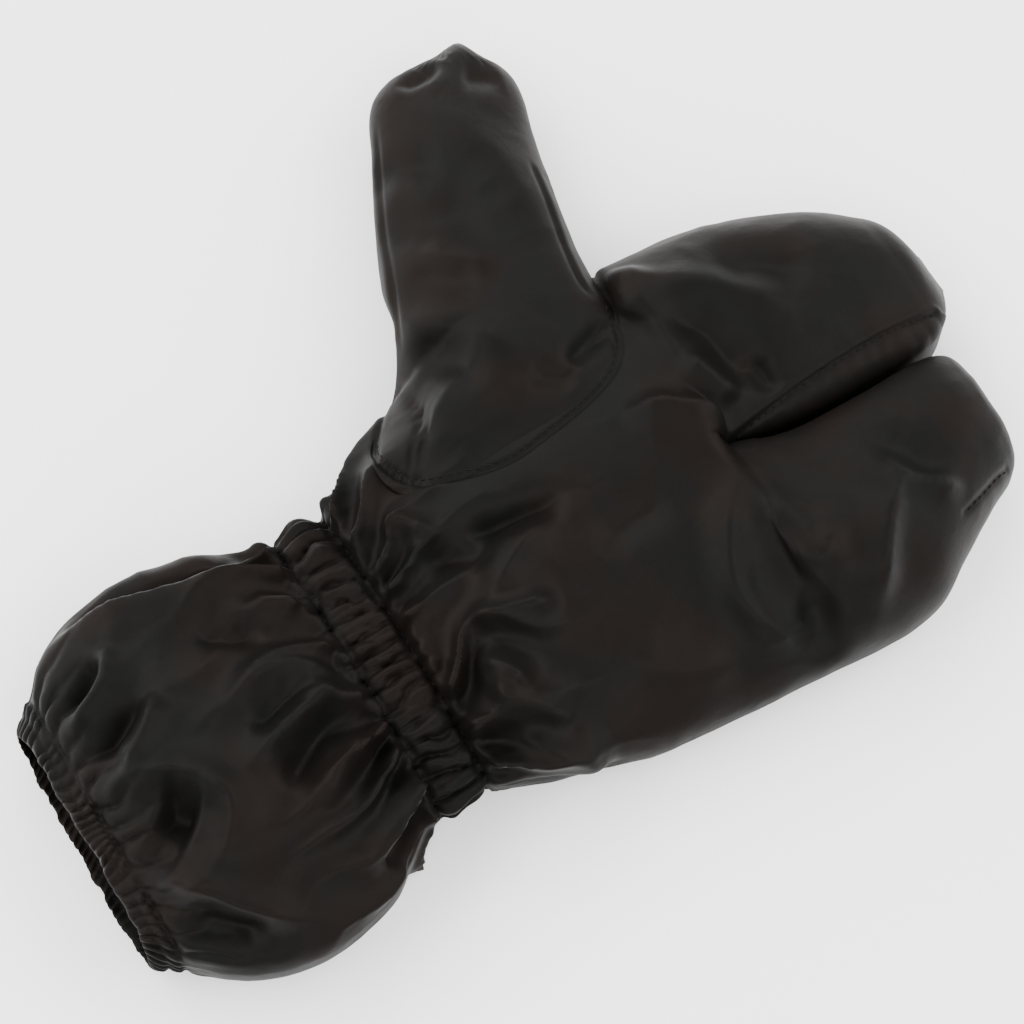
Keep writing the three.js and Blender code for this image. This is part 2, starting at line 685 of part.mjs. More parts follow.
function hemBand() {
  const inner = -BAND_LENGTH - GAUNTLET_LENGTH - SEAM_GAP / 2;
  return ribbedRing(inner - HEM_LENGTH, inner, HEM_ROWS, HEM_RIBS, HEM_RIB, (share) => ({
    section: mixSections(mouthSection, hemSection, share),
    lean: (MOUTH_LEAN / 2) * (1 - share),
    push: 0,
  }));
}

// Cloth finishes. The colours are those of the photograph's dark coated cloth.
const cloth = (colour, roughness) =>
  new THREE.MeshStandardMaterial({ color: colour, roughness, metalness: 0 });
const CLOTH = cloth(0x2a2725, 0.5);
const CLOTH_BACK = cloth(0x262321, 0.52);
const ELASTIC_CLOTH = cloth(0x221f1d, 0.58);

const mitt = new THREE.Group();
mitt.name = "rain_overmitt";

function addPiece(name, body, material) {
  const mesh = body.getMesh();
  const geometry = new THREE.BufferGeometry();
  geometry.setAttribute("position", new THREE.BufferAttribute(mesh.vertProperties, 3));
  geometry.setIndex(new THREE.BufferAttribute(mesh.triVerts, 1));
  geometry.computeVertexNormals();
  const piece = new THREE.Mesh(geometry, material);
  piece.name = name;
  mitt.add(piece);
}

const handTrim = handSpace(SEAM_GAP * 1.5);
addPiece("palm_panel", handPanel(1, PALM).subtract(thumbSpace()), CLOTH);
addPiece("back_panel", handPanel(-1, BACK), CLOTH_BACK);
addPiece("finger_gusset", fingerGusset(), CLOTH_BACK);
addPiece("thumb_front", thumbPanel(1).subtract(handTrim), CLOTH);
addPiece("thumb_back", thumbPanel(-1).subtract(handTrim), CLOTH_BACK);
addPiece("wrist_band", wristBand(), ELASTIC_CLOTH);
addPiece("gauntlet_front", gauntletPanel(1, GAUNTLET_FRONT), CLOTH);
addPiece("gauntlet_back", gauntletPanel(-1, GAUNTLET_BACK), CLOTH_BACK);
addPiece("hem_band", hemBand(), ELASTIC_CLOTH);

// The origin is under the middle of the mitt, on the surface that it lies on.
const box = new THREE.Box3().setFromObject(mitt);
const centre = box.getCenter(new THREE.Vector3());
mitt.position.set(-centre.x, -centre.y, -box.min.z);

export default mitt;
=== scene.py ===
"""Looks of a rain overmitt for the left hand, lying palm up on a pale surface.

The mitt is one cloth in the form of the frame's panels, with its folds and gathers pushed in. It
has a little more cloth than that form holds, and a simulation lets it buckle and settle. The
result is made finer, gets small creases and seam grooves, and is parted into the panels. The
thumb is a second cloth. The hem and the threads are built last. Lengths are in millimetres in
the mitt's own axes, until metres() turns them into the frame's.
"""

import json
import math

import bpy
import numpy as np
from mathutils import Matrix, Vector
from mathutils.bvhtree import BVHTree

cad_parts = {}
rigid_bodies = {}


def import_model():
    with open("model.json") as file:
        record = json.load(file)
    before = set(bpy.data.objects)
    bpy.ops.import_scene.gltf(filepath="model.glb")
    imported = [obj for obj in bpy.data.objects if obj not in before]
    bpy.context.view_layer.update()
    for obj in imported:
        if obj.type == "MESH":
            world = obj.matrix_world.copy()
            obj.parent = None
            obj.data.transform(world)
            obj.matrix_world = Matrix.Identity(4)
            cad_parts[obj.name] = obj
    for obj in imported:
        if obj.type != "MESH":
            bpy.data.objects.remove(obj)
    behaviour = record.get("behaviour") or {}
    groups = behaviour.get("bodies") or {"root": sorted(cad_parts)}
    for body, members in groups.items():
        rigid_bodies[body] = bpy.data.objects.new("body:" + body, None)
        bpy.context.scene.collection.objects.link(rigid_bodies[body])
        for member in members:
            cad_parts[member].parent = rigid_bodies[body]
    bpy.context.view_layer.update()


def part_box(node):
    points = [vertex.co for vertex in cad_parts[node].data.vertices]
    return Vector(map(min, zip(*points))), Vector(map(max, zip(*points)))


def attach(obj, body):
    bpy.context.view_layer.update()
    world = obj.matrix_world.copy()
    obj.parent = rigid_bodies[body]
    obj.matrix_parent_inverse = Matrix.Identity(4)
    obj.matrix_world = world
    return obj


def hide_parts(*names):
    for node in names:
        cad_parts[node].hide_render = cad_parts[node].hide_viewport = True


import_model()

MM = 0.001

# The mitt's own axes start at the wrist band's edge on the hand's side, on the floor.
band_low, band_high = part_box("wrist_band")
WRIST_SIDE = 1.6
ORIGIN = np.array([band_high.x / MM, (band_low.y + band_high.y) / 2 / MM - WRIST_SIDE, 0.0])

# Driving sizes.
HAND_LENGTH = 144.0
HAND_HALF_WIDTH = 90.0
HAND_RISE = 39.0
HAND_SEAM = 15.0
INDEX_LENGTH = 112.0
LITTLE_LENGTH = 99.5
FORK_SIDE = 4.0
FORK_VALLEY = 12.0

BAND_LENGTH = 21.0
WRIST_HALF_WIDTH = 61.8
WRIST = dict(seam=23.0, rise=21.0, floor=4.0)
WRIST.update(low=WRIST_SIDE - WRIST_HALF_WIDTH, high=WRIST_SIDE + WRIST_HALF_WIDTH)
GAUNTLET_LENGTH = 106.0
PUFFED = dict(low=-87.0, high=81.0, seam=26.0, rise=32.0, floor=0.0)
HEM_LENGTH = 10.0
HEM = dict(low=-60.0, high=57.0, seam=21.5, rise=20.0, floor=1.0)
MOUTH = dict(low=-51.5, high=48.5, seam=20.0, rise=17.0, floor=2.0)
MOUTH_LEAN = 3.0
HEM_X = -BAND_LENGTH - GAUNTLET_LENGTH
MOUTH_X = HEM_X - HEM_LENGTH

THUMB_LENGTH = 126.0
THUMB_HALF_WIDTH = 36.0
THUMB_RISE = 20.0
THUMB_TURN = math.radians(69.0)
THUMB_FOOT = (96.0, 94.0)
THUMB_WAY = np.array([math.cos(THUMB_TURN), math.sin(THUMB_TURN)])

# How far and how fully the underside goes down to the floor.
UNDER_PUSH = 1.3
UNDER_FULLNESS = 0.62
# How much closer the points lie at the sides than round an even circle.
EVENING = 0.14
# For each side of the fork, how full the palm side is beside it, and its bulge over the slit.
LITTLE_LOBE = (0.38, 2.2)
INDEX_LOBE = (0.36, -1.8)

# Spacing of the cloth's rows, and that in the wrist band.
STEP = 2.0
BAND_STEP = 1.75
# Columns round the palm side, and as many round the back.
COLUMNS = 112
MIDDLE = COLUMNS // 2
THUMB_COLUMNS = 44

# The simulation's rounds, and how much each keeps of the last motion and of its links' pull.
ROUNDS = 240
CARRIED = 0.9
PULLED = 1.6
# The least heights over the floor, while the cloth settles and when it is finished.
SETTLING_HEIGHT = 0.25
LEAST_HEIGHT = 0.2

WRIST_RIB_WIDTH = 7.7
HEM_RIB_WIDTH = 3.8
HEM_WAY_ROUND = 0.86  # as a share of the wrist band's
PALM_FOLD_HEIGHT = 2.9
GAUNTLET_FOLD_HEIGHT = 2.4
THUMB_FOLD_HEIGHT = 2.0
FOLD_WIDTH = 1.35

# Where rays start above the mitt, and the height given back where they hit nothing.
ABOVE = 200
NOTHING = -99
UP = Vector((0, 0, 1))
# Places on each side of the hem's rings.
RING_PLACES = 400


# Tables of sections. Each row starts with the share of the length that it is at.
def table(names, *rows):
    """Columns by name, from rows of numbers."""
    return dict(zip(names.split(), np.array(rows, float).T))


HAND_SECTIONS = table(
    "at little thumb full",
    (0, 0, 0, 0),
    (0.09, 0.14, 0.28, 0.3),
    (0.16, 0.26, 0.58, 0.55),
    (0.3, 0.46, 0.94, 0.9),
    (0.44, 0.67, 1.06, 1),
    (0.72, 0.81, 1.13, 1),
    (1, 0.92, 1.25, 0.93),
)
INDEX_SECTIONS = table(
    "at inner outer thick",
    (0, 0, 1, 1),
    (0.12, -0.02, 0.99, 0.98),
    (0.26, -0.04, 0.98, 0.95),
    (0.42, -0.05, 0.94, 0.92),
    (0.58, -0.05, 0.875, 0.87),
    (0.72, -0.05, 0.795, 0.8),
    (0.84, -0.02, 0.695, 0.68),
    (0.93, 0.07, 0.59, 0.48),
    (1, 0.2, 0.4, 0),
)
LITTLE_SECTIONS = table(
    "at inner outer thick",
    (0, 0, 1, 1),
    (0.12, -0.05, 1.01, 0.98),
    (0.26, -0.08, 1.01, 0.95),
    (0.42, -0.085, 0.97, 0.92),
    (0.6, -0.085, 0.845, 0.87),
    (0.78, -0.075, 0.73, 0.78),
    (0.9, -0.085, 0.66, 0.62),
    (0.96, -0.13, 0.59, 0.42),
    (1, -0.24, 0.44, 0),
)
THUMB_SECTIONS = table(
    "at index wrist mid rise under",
    (-0.56, -0.75, 1, 2.2, 0.1, 0.1),
    (-0.52, -0.45, 1.28, 2.2, 0.36, 0.3),
    (-0.45, -0.02, 1.44, 2.17, 0.5, 0.4),
    (-0.34, 0.85, 1.46, 2.14, 0.6, 0.45),
    (-0.22, 1.2, 1.32, 2.05, 0.7, 0.55),
    (-0.1, 1.24, 1.12, 1.9, 0.83, 0.72),
    (0.04, 1.15, 1.04, 1.7, 0.95, 0.8),
    (0.2, 1.03, 1.1, 1.47, 1.03, 0.92),
    (0.4, 0.93, 1.04, 1.25, 1.05, 1),
    (0.65, 0.85, 0.93, 1.08, 1.02, 1),
    (0.82, 0.81, 0.84, 0.98, 0.92, 0.97),
    (0.91, 0.65, 0.62, 0.93, 0.7, 0.78),
    (0.96, 0.36, 0.26, 0.9, 0.42, 0.42),
    (1, 0.26, -0.08, 0.88, 0, 0),
)
GAUNTLET_SECTIONS = table(
    "at puff",
    (0, 0),
    (0.06, 0.07),
    (0.15, 0.38),
    (0.25, 0.7),
    (0.38, 0.9),
    (0.53, 1),
    (0.67, 0.94),
    (0.81, 0.72),
    (0.91, 0.42),
    (1, 0),
)


def mix(a, b, share):
    return a + (b - a) * share


def smooth(value):
    value = np.clip(value, 0, 1)
    return value * value * (3 - 2 * value)


def read(sections, column, at):
    """A table's column at a share, along a smooth curve through its rows."""
    x, y = sections["at"], sections[column]
    slope = np.empty_like(y)
    slope[1:-1] = (y[2:] - y[:-2]) / (x[2:] - x[:-2])
    slope[0] = (y[1] - y[0]) / (x[1] - x[0])
    slope[-1] = (y[-1] - y[-2]) / (x[-1] - x[-2])
    at = np.clip(at, x[0], x[-1])
    low = np.clip(np.searchsorted(x, at, side="right") - 1, 0, len(x) - 2)
    span = x[low + 1] - x[low]
    t = (at - x[low]) / span
    return (
        (2 * t**3 - 3 * t**2 + 1) * y[low]
        + (t**3 - 2 * t**2 + t) * span * slope[low]
        + (3 * t**2 - 2 * t**3) * y[low + 1]
        + (t**3 - t**2) * span * slope[low + 1]
    )


def mix_sections(a, b, share):
    return {key: mix(a[key], b[key], share) for key in a}


def evened(share):
    """Angle for a share of the way round, so that points are about evenly far apart."""
    return math.pi * share + EVENING * np.sin(2 * math.pi * share)


def around(section, angle):
    """Y and Z of a point round a section. Angle 0 is the little-finger side, half pi the palm."""
    y = mix(section["low"], section["high"], (1 - np.cos(angle)) / 2)
    lift = np.sin(angle)
    drop = (section["seam"] - section["floor"]) * UNDER_PUSH * np.abs(lift) ** UNDER_FULLNESS
    below = np.maximum(section["floor"], section["seam"] - drop)
    return y, np.where(lift >= 0, section["seam"] + section["rise"] * lift, below)


def lobe(section, share, side, from_inner, fullness, over):
    """Like around, but with the palm side fuller beside the fork and bulging over the slit."""
    angle = side * evened(share)
    y, z = around(section, angle)
    if side > 0:
        power = mix(fullness, 1.0, smooth(from_inner / 0.6))
        fuller = section["seam"] + section["rise"] * np.abs(np.sin(angle)) ** power
        z = np.where(np.sin(angle) >= 0, fuller, z)
        y = y + over * np.abs(np.sin(angle)) ** 0.5 * (1 - smooth(from_inner / 0.35))
    return y, z


def hand_section(x):
    """The section at a place between the wrist band and the fork."""
    at = x / HAND_LENGTH
    full = read(HAND_SECTIONS, "full", at)
    return dict(
        low=mix(WRIST["low"], -HAND_HALF_WIDTH, read(HAND_SECTIONS, "little", at)),
        high=mix(WRIST["high"], HAND_HALF_WIDTH, read(HAND_SECTIONS, "thumb", at)),
        seam=mix(WRIST["seam"], HAND_SEAM, full),
        rise=mix(WRIST["rise"], HAND_RISE, full),
        floor=WRIST["floor"] * (1 - smooth(at * 4)),
    )


def gauntlet_section(x):
    """The section at a place in the wrist band or the gauntlet."""
    at = -(x + BAND_LENGTH) / GAUNTLET_LENGTH
    straight = mix_sections(WRIST, HEM, np.clip(at, 0, 1))
    section = mix_sections(straight, PUFFED, read(GAUNTLET_SECTIONS, "puff", at))
    puffed = smooth(np.sin(math.pi * np.clip(at, 0, 1)) * 2)
    section["floor"] = straight["floor"] * (1 - puffed)
    return section


def hem_section(x):
    return mix_sections(HEM, MOUTH, np.clip((HEM_X - x) / HEM_LENGTH, 0, 1))


def tube_section(x):
    """The section at a station between the mouth and the fork."""
    hand, gauntlet, hem = hand_section(x), gauntlet_section(x), hem_section(x)
    return {
        key: np.where(x >= 0, hand[key], np.where(x < HEM_X, hem[key], gauntlet[key]))
        for key in WRIST
    }


def tube_place(x, share, side):
    """A point of the tube from the mouth to the fork."""
    section = tube_section(x)
    whole = around(section, side * evened(share))
    low_half = share <= 0.5
    half = dict(
        section,
        low=np.where(low_half, section["low"], FORK_SIDE),
        high=np.where(low_half, FORK_SIDE, section["high"]),
    )
    own_share = np.where(low_half, 2 * share, 2 * share - 1)
    from_inner = np.where(low_half, 1 - own_share, own_share)
    full, over = (np.where(low_half, *pair) for pair in zip(LITTLE_LOBE, INDEX_LOBE))
    part = lobe(half, own_share, side, from_inner, full, over)
    forked = smooth((x - HAND_LENGTH + FORK_VALLEY) / FORK_VALLEY) ** 2
    y = mix(whole[0], part[0], forked)
    z = mix(whole[1], part[1], forked)
    lean = MOUTH_LEAN / 2 * np.sin(side * evened(share))
    mouth = np.clip((HEM_X - x) / HEM_LENGTH, 0, 1)
    return np.stack([x + lean * mouth + 0 * y, y, z], -1)


FORK = hand_section(HAND_LENGTH)


def finger_place(finger, at, share, side):
    """A point of a finger compartment, past the fork."""
    sections, length, edge = finger
    inner = FORK_SIDE + HAND_HALF_WIDTH * read(sections, "inner", at)
    outer = FORK[edge] * read(sections, "outer", at)
    thick = read(sections, "thick", at)
    section = dict(
        low=np.minimum(inner, outer),
        high=np.maximum(inner, outer),
        seam=FORK["seam"],
        rise=FORK["rise"] * thick,
        floor=FORK["seam"] * (1 - smooth(thick * 2)),
    )
    is_index = edge == "high"
    from_inner = share if is_index else 1 - share
    full, over = INDEX_LOBE if is_index else LITTLE_LOBE
    y, z = lobe(section, share, side, from_inner, full, over * thick**2)
    return np.stack([HAND_LENGTH + length * at + 0 * y, y, z], -1)


INDEX = (INDEX_SECTIONS, INDEX_LENGTH, "high")
LITTLE = (LITTLE_SECTIONS, LITTLE_LENGTH, "low")


def thumb_place(at, share, side):
    """A point of the thumb. Share 0 is the index side."""
    angle = side * evened(share)
    index = THUMB_HALF_WIDTH * read(THUMB_SECTIONS, "index", at)
    wrist = THUMB_HALF_WIDTH * read(THUMB_SECTIONS, "wrist", at)
    across = mix(-index, wrist, (1 - np.cos(angle)) / 2)
    lift = np.abs(np.sin(angle))
    rise = THUMB_RISE * read(THUMB_SECTIONS, "rise", at) * lift**0.9
    drop = THUMB_RISE * read(THUMB_SECTIONS, "under", at) * lift**0.75
    z = THUMB_RISE * read(THUMB_SECTIONS, "mid", at) + (rise if side > 0 else -drop)
    along = THUMB_LENGTH * at
    x = THUMB_FOOT[0] + along * THUMB_WAY[0] - across * THUMB_WAY[1]
    y = THUMB_FOOT[1] + along * THUMB_WAY[1] + across * THUMB_WAY[0]
    return np.stack([x, y, np.maximum(0, z)], -1)


def lengths_of(ways):
    return np.linalg.norm(ways, axis=1)


def unit(ways):
    return ways / lengths_of(ways)[:, None]


def quads_of(ids):
    """Faces between the rows and columns of a grid of points."""
    return np.stack([ids[:-1, :-1], ids[:-1, 1:], ids[1:, 1:], ids[1:, :-1]], -1).reshape(-1, 4)


def closed(ids):
    """A grid with its first column once more at its end."""
    return np.concatenate([ids, ids[:, :1]], axis=1)


def metres(points):
    return (points + ORIGIN) * MM


def hashed(cell, seed):
    """A number from -1 to 1 for each whole-numbered cell."""
    cell = cell.astype(np.int64)
    h = cell[..., 0] * 73856093 ^ cell[..., 1] * 19349663 ^ cell[..., 2] * 83492791
    h = (h ^ (seed * 2654435761)) & 0xFFFFFFFF
    h = ((h ^ (h >> 15)) * 2246822519) & 0xFFFFFFFF
    h = ((h ^ (h >> 13)) * 3266489917) & 0xFFFFFFFF
    return (h ^ (h >> 16)) / 0x7FFFFFFF - 1


def noise(points, size, seed):
    """Smooth noise from -1 to 1 with bumps of about that size."""
    place = np.asarray(points, float) / size + 1000
    cell = np.floor(place)
    part = smooth(place - cell)
    total = 0
    for corner in range(8):
        step = np.array([corner & 1, corner >> 1 & 1, corner >> 2])
        weight = np.prod(np.where(step, part, 1 - part), axis=-1)
        total = total + weight * hashed(cell + step, seed)
    return total


def bump(gap, width):
    """A soft hump or groove that is 1 high in its middle."""
    return np.exp(-((gap / width) ** 2))


def far_along(line):
    """How far along a line each of its points lies."""
    return np.concatenate([[0], np.cumsum(lengths_of(np.diff(line, axis=0)))])


def places_along(distance, far, line):
    """Places at some distances along a line, whose own points lie that far along it."""
    return np.stack([np.interp(distance, far, column) for column in line.T], -1)


def cubic(known, wanted):
    """Matrix that turns values at the known places into values at the wanted ones."""
    lines = [read(dict(at=known, value=line), "value", wanted) for line in np.eye(len(known))]
    return np.array(lines).T


def halfway(count):
    """Matrix that puts a row between each two of a grid's rows."""
    return cubic(np.arange(count, dtype=float), np.arange(2 * count - 1) / 2)


def tree_of(points, faces):
    return BVHTree.FromPolygons(points.tolist(), faces.tolist())


class Cloth:
    """Grids of points that share their points where they touch."""

    def __init__(self, grids):
        self.grids = grids
        points = np.concatenate([grid.reshape(-1, 3) for grid in grids.values()])
        keys = np.round(points, 3)
        _, first, index = np.unique(keys, axis=0, return_index=True, return_inverse=True)
        index = index.reshape(-1)
        self.points = points[first]
        self.ids = {}
        start = 0
        for name, grid in grids.items():
            count = grid.shape[0] * grid.shape[1]
            self.ids[name] = index[start : start + count].reshape(grid.shape[:2])
            start += count
        self.faces = np.concatenate([self.quads(name) for name in grids])

    def quads(self, name, rows=slice(None)):
        """A grid's faces, turned to look outward."""
        quads = quads_of(self.ids[name][rows])
        return quads[:, ::-1] if name.startswith("palm") else quads

    def normals(self, points=None):
        """Outward directions at the cloth's own points, or at others in their order."""
        points = self.points if points is None else points
        corner = points[self.faces]
        cross = np.cross(corner[:, 2] - corner[:, 0], corner[:, 3] - corner[:, 1])
        total = np.empty_like(points)
        for axis in range(3):
            weight = np.repeat(cross[:, axis], 4)
            total[:, axis] = np.bincount(self.faces.ravel(), weight, len(points))
        return total / np.maximum(lengths_of(total), 1e-9)[:, None]


class Links:
    """Pairs of cloth points with the distance between them in the uncut cloth.

    Lengthwise grids are joined along their columns, rings along their rows, which close.
    """

    def __init__(self, points, lengthwise, rings, more_along, more_round):
        pairs, stiff, along = [], [], []

        def join(a, b, weight, lengthwise_share):
            pairs.append(np.stack([a.ravel(), b.ravel()], 1))
            stiff.append(np.full(a.size, weight))
            along.append(np.full(a.size, lengthwise_share))

        for skip, weight in ((1, 1.0), (2, 0.3), (4, 0.22), (8, 0.1)):
            for ids in lengthwise:
                join(ids[:-skip], ids[skip:], weight, 1.0)
            for ids in rings:
                join(ids, np.roll(ids, -skip, axis=1), weight, 0.0)
        for ids in rings:
            turned = np.roll(ids, -1, axis=1)
            join(ids[:-1], turned[1:], 0.35, 0.5)
            join(turned[:-1], ids[1:], 0.35, 0.5)
        pairs = np.sort(np.concatenate(pairs), axis=1)
        stiff, along = np.concatenate(stiff), np.concatenate(along)
        code = pairs[:, 0] * len(points) + pairs[:, 1]
        code[pairs[:, 0] == pairs[:, 1]] = -1
        code, kept = np.unique(code, return_index=True)
        kept = kept[code >= 0]
        self.a, self.b = pairs[kept].T
        self.weight = stiff[kept]
        more = mix(
            (more_round[self.a] + more_round[self.b]) / 2,
            (more_along[self.a] + more_along[self.b]) / 2,
            along[kept],
        )
        self.length = lengths_of(points[self.a] - points[self.b]) * (1 + more)
        self.both = np.concatenate([self.a, self.b])
        total = np.bincount(self.both, np.tile(self.weight, 2), len(points))
        self.total = np.maximum(total, 1e-6)[:, None]

    def pull(self, points):
        """How far each point is from where its links would have it, on average."""
        gap = points[self.b] - points[self.a]
        length = np.sqrt(np.einsum("ij,ij->i", gap, gap)) + 1e-9
        share = (0.5 * self.weight * (1 - self.length / length))[:, None] * gap
        moves = np.empty_like(points)
        for axis in range(3):
            weights = np.concatenate([share[:, axis], -share[:, axis]])
            moves[:, axis] = np.bincount(self.both, weights, len(points))
        return moves / self.total


def settle(cloth, links, target, hold, shove):
    """Lets the cloth buckle. Hold is how firmly each point is kept at its target."""
    normals = cloth.normals(target)
    points = target + normals * shove[:, None]
    moved = np.zeros_like(points)
    hold = hold[:, None]
    for _ in range(ROUNDS):
        before = points
        points = points + CARRIED * moved
        points = points + PULLED * links.pull(points)
        points = points + hold * (target - points)
        points[:, 2] = np.maximum(points[:, 2], SETTLING_HEIGHT)
        moved = (points - before) * (hold < 0.5)
    return points


def on_line(points, line):
    """Signed distance from a line in plan, left of it positive, and the share along it."""
    line = np.array(line, float)
    best = np.full(len(points), 1e9)
    side = np.zeros(len(points))
    share = np.zeros(len(points))
    lengths = lengths_of(np.diff(line, axis=0))
    starts = far_along(line)
    for start, end, length, done in zip(line[:-1], line[1:], lengths, starts):
        way = (end - start) / length
        to = points[:, :2] - start
        along = np.clip(to @ way, 0, length)
        off = to - along[:, None] * way
        distance = np.hypot(off[:, 0], off[:, 1])
        nearer = distance < best
        left = np.sign(way[0] * to[:, 1] - way[1] * to[:, 0])
        best = np.where(nearer, distance, best)
        side = np.where(nearer, left, side)
        share = np.where(nearer, (done + along) / starts[-1], share)
    return best * np.where(side == 0, 1, side), share


def curved(line, steps=6):
    """A smooth curve through a line's points."""
    line = np.array(line, float)
    count = len(line)
    if count < 3:
        return line
    wanted = np.linspace(0, count - 1, (count - 1) * steps + 1)
    return cubic(np.arange(count, dtype=float), wanted) @ line


def fold_field(points, normals, folds):
    """Height that the folds in a table add to the upper side."""
    lift = np.zeros(len(points))
    for height, left, right, crisp, *line in folds:
        distance, share = on_line(points, curved(line))
        width = FOLD_WIDTH * np.where(distance > 0, left, right)
        shape = np.exp(-((np.abs(distance) / width) ** crisp))
        ends = 0.1 + 0.9 * smooth(np.minimum(share, 1 - share) / 0.32)
        lift += height * shape * ends
    return lift * smooth(normals[:, 2] / 0.45)


# Folds: height, width left of the line, width right of it, how crisp, and the line's places.
PALM_FOLDS = (
    (3.5, 3.5, 9, 1.4, (110, 30), (126, 24), (135, 16), (140, 10), (147, 5)),
    (-3.6, 7, 6, 1.7, (146, 59), (158, 47), (161, 33), (160, 22), (157, 14)),
    (2.6, 4, 6, 1.4, (144, 40), (151, 24), (155, 13)),
    (-2.2, 3, 3, 1.6, (168, 26), (168, 9)),
    (3.2, 8, 5, 1.4, (139, -11), (123, -26), (111, -50), (118, -69), (127, -83)),
    (2.6, 5, 5, 1.4, (139, -16), (139, -40), (144, -56), (153, -48), (161, -40)),
    (3.8, 4, 9, 1.4, (190, -42), (170, -60), (154, -82)),
    (-1.5, 5, 6, 1.6, (129, -62), (134, -70), (126, -84)),
    (3.0, 4.5, 6, 1.4, (20, -9), (38, -15), (57, -21)),
    (2.6, 4, 5, 1.4, (15, -22), (26, -31), (30, -42)),
    (2.6, 4, 4, 1.4, (15, -34), (28, -46), (39, -58)),
    (3.0, 4, 5, 1.4, (13, -49), (22, -57), (34, -67), (48, -76)),
    (-3.4, 4, 6, 1.5, (34, 20), (56, 17), (80, 13)),
    (2.6, 5, 6, 1.4, (72, 8), (52, 3), (30, -10)),
    (-2.2, 5, 5, 1.6, (17, 22), (30, 15), (44, 4)),
    (2.4, 4, 4, 1.4, (13, 40), (22, 35), (30, 24)),
    (2.2, 4, 4, 1.4, (183, -27), (189, -45), (210, -60)),
    (-1.6, 8, 8, 1.9, (186, -22), (197, -40), (203, -56)),
    (-1.6, 6, 8, 1.8, (172, 66), (190, 58), (208, 42)),
    (1.8, 6, 6, 1.6, (150, 76), (172, 55), (196, 30)),
    (-1.6, 6, 6, 1.7, (74, -12), (92, -8), (112, -8)),
    (1.8, 8, 6, 1.6, (60, -45), (80, -62), (104, -72)),
    (2.2, 6, 7, 1.6, (152, 84), (143, 72), (138, 58)),
)
GAUNTLET_FOLDS = (
    (3.4, 2.5, 9, 1.4, (-112, 66), (-92, 65), (-68, 58), (-44, 52), (-22, 45)),
    (-4.4, 4, 3, 1.6, (-108, 72), (-90, 71), (-66, 65), (-42, 59), (-22, 51)),
    (3.0, 4, 5, 1.4, (-92, 52), (-106, 36), (-122, 27)),
    (-3.4, 4, 4, 1.6, (-98, 50), (-110, 42), (-122, 38)),
    (3.4, 4, 6, 1.4, (-88, 25), (-98, 12), (-112, 3)),
    (-3.6, 4, 4, 1.6, (-92, 27), (-108, 20), (-122, 16)),
    (
        3.6, 6, 4, 1.4,
        (-123, 4), (-112, 2), (-98, -5), (-88, -16), (-86, -27), (-93, -37), (-104, -44),
    ),
    (-4.2, 8, 8, 1.8, (-112, -14), (-101, -27)),
    (3.6, 5, 4, 1.4, (-124, -31), (-110, -44), (-99, -60), (-80, -77)),
    (-3.2, 5, 5, 1.6, (-120, -47), (-112, -58), (-95, -74)),
    (3.0, 4, 6, 1.4, (-72, 4), (-54, 10), (-38, 6), (-27, -3)),
    (3.0, 5, 5, 1.4, (-78, -21), (-58, -12), (-40, -7), (-26, -5)),
    (-2.8, 4, 4, 1.6, (-68, -7), (-38, 0)),
    (3.0, 4, 5, 1.4, (-60, -47), (-47, -33), (-30, -22)),
    (-2.8, 5, 5, 1.6, (-68, -33), (-45, -20), (-31, -14)),
    (3.4, 4, 5, 1.4, (-54, -68), (-43, -59), (-32, -49), (-30, -41)),
    (-3.0, 4, 5, 1.6, (-49, -73), (-41, -65), (-26, -55)),
    (-2.4, 4, 4, 1.6, (-66, 42), (-56, 32), (-40, 27)),
    (2.2, 4, 4, 1.4, (-46, 38), (-26, 27)),
)
THUMB_FOLDS = (
    (-1.2, 3, 4, 1.6, (137, 204), (127, 199), (115, 202)),
    (-1.4, 5, 5, 1.8, (139, 192), (147, 187), (155, 185)),
    (1.9, 9, 7, 1.7, (112, 194), (124, 170), (129, 140), (127, 104)),
    (-1.8, 9, 9, 1.8, (74, 150), (94, 139), (118, 134)),
    (1.5, 6, 6, 1.5, (68, 110), (80, 90), (96, 68)),
    (-1.3, 6, 6, 1.6, (60, 104), (70, 84), (76, 64)),
    (1.2, 5, 5, 1.5, (84, 132), (94, 118), (108, 106)),
    (-1.4, 6, 7, 1.7, (86, 176), (100, 166), (114, 160)),
    (-1.2, 5, 6, 1.7, (76, 126), (88, 112), (98, 104)),
    (-2.6, 3, 4, 1.4, (104, 56), (118, 62), (134, 69)),
    (-1.6, 3, 4, 1.4, (90, 62), (108, 50)),
    (-1.6, 3, 3, 1.4, (52, 92), (48, 67), (36, 50)),
)

# Seams, and places that the thumb's seam, its thread and its tip's gathers lie round, in plan.
TIP_SEAM = ((231, -56), (224, -58), (216, -61), (210, -63), (204, -65))
GUSSET_SEAM = ((141, 3), (166, 6.5), (191, 8.5), (216, 9.5), (241, 9))
THUMB_SEAM = (
    (52, 97), (40, 84), (30, 72), (28, 62), (34, 48), (46, 41), (66, 36), (87, 38),
    (107, 42), (121, 48), (129, 57), (133, 68), (138, 84), (142, 98),
)
THUMB_SIDE_SEAMS = (
    ((58, 98), (64, 112), (72, 130), (80, 149), (92, 173), (103, 194)),
    ((143, 146), (139, 126), (134, 107), (130, 88), (131, 75)),
    ((54, 76), (47, 67), (39, 59), (34, 52)),
)
THUMB_MIDDLE = np.array([82.0, 78.0])
THREAD_MIDDLE = np.array([86.0, 84.0])
TIP_KNOB = np.array([148.5, 204.5])


def rows_between(low, high, step=STEP):
    return np.linspace(low, high, max(2, int(round((high - low) / step)) + 1))


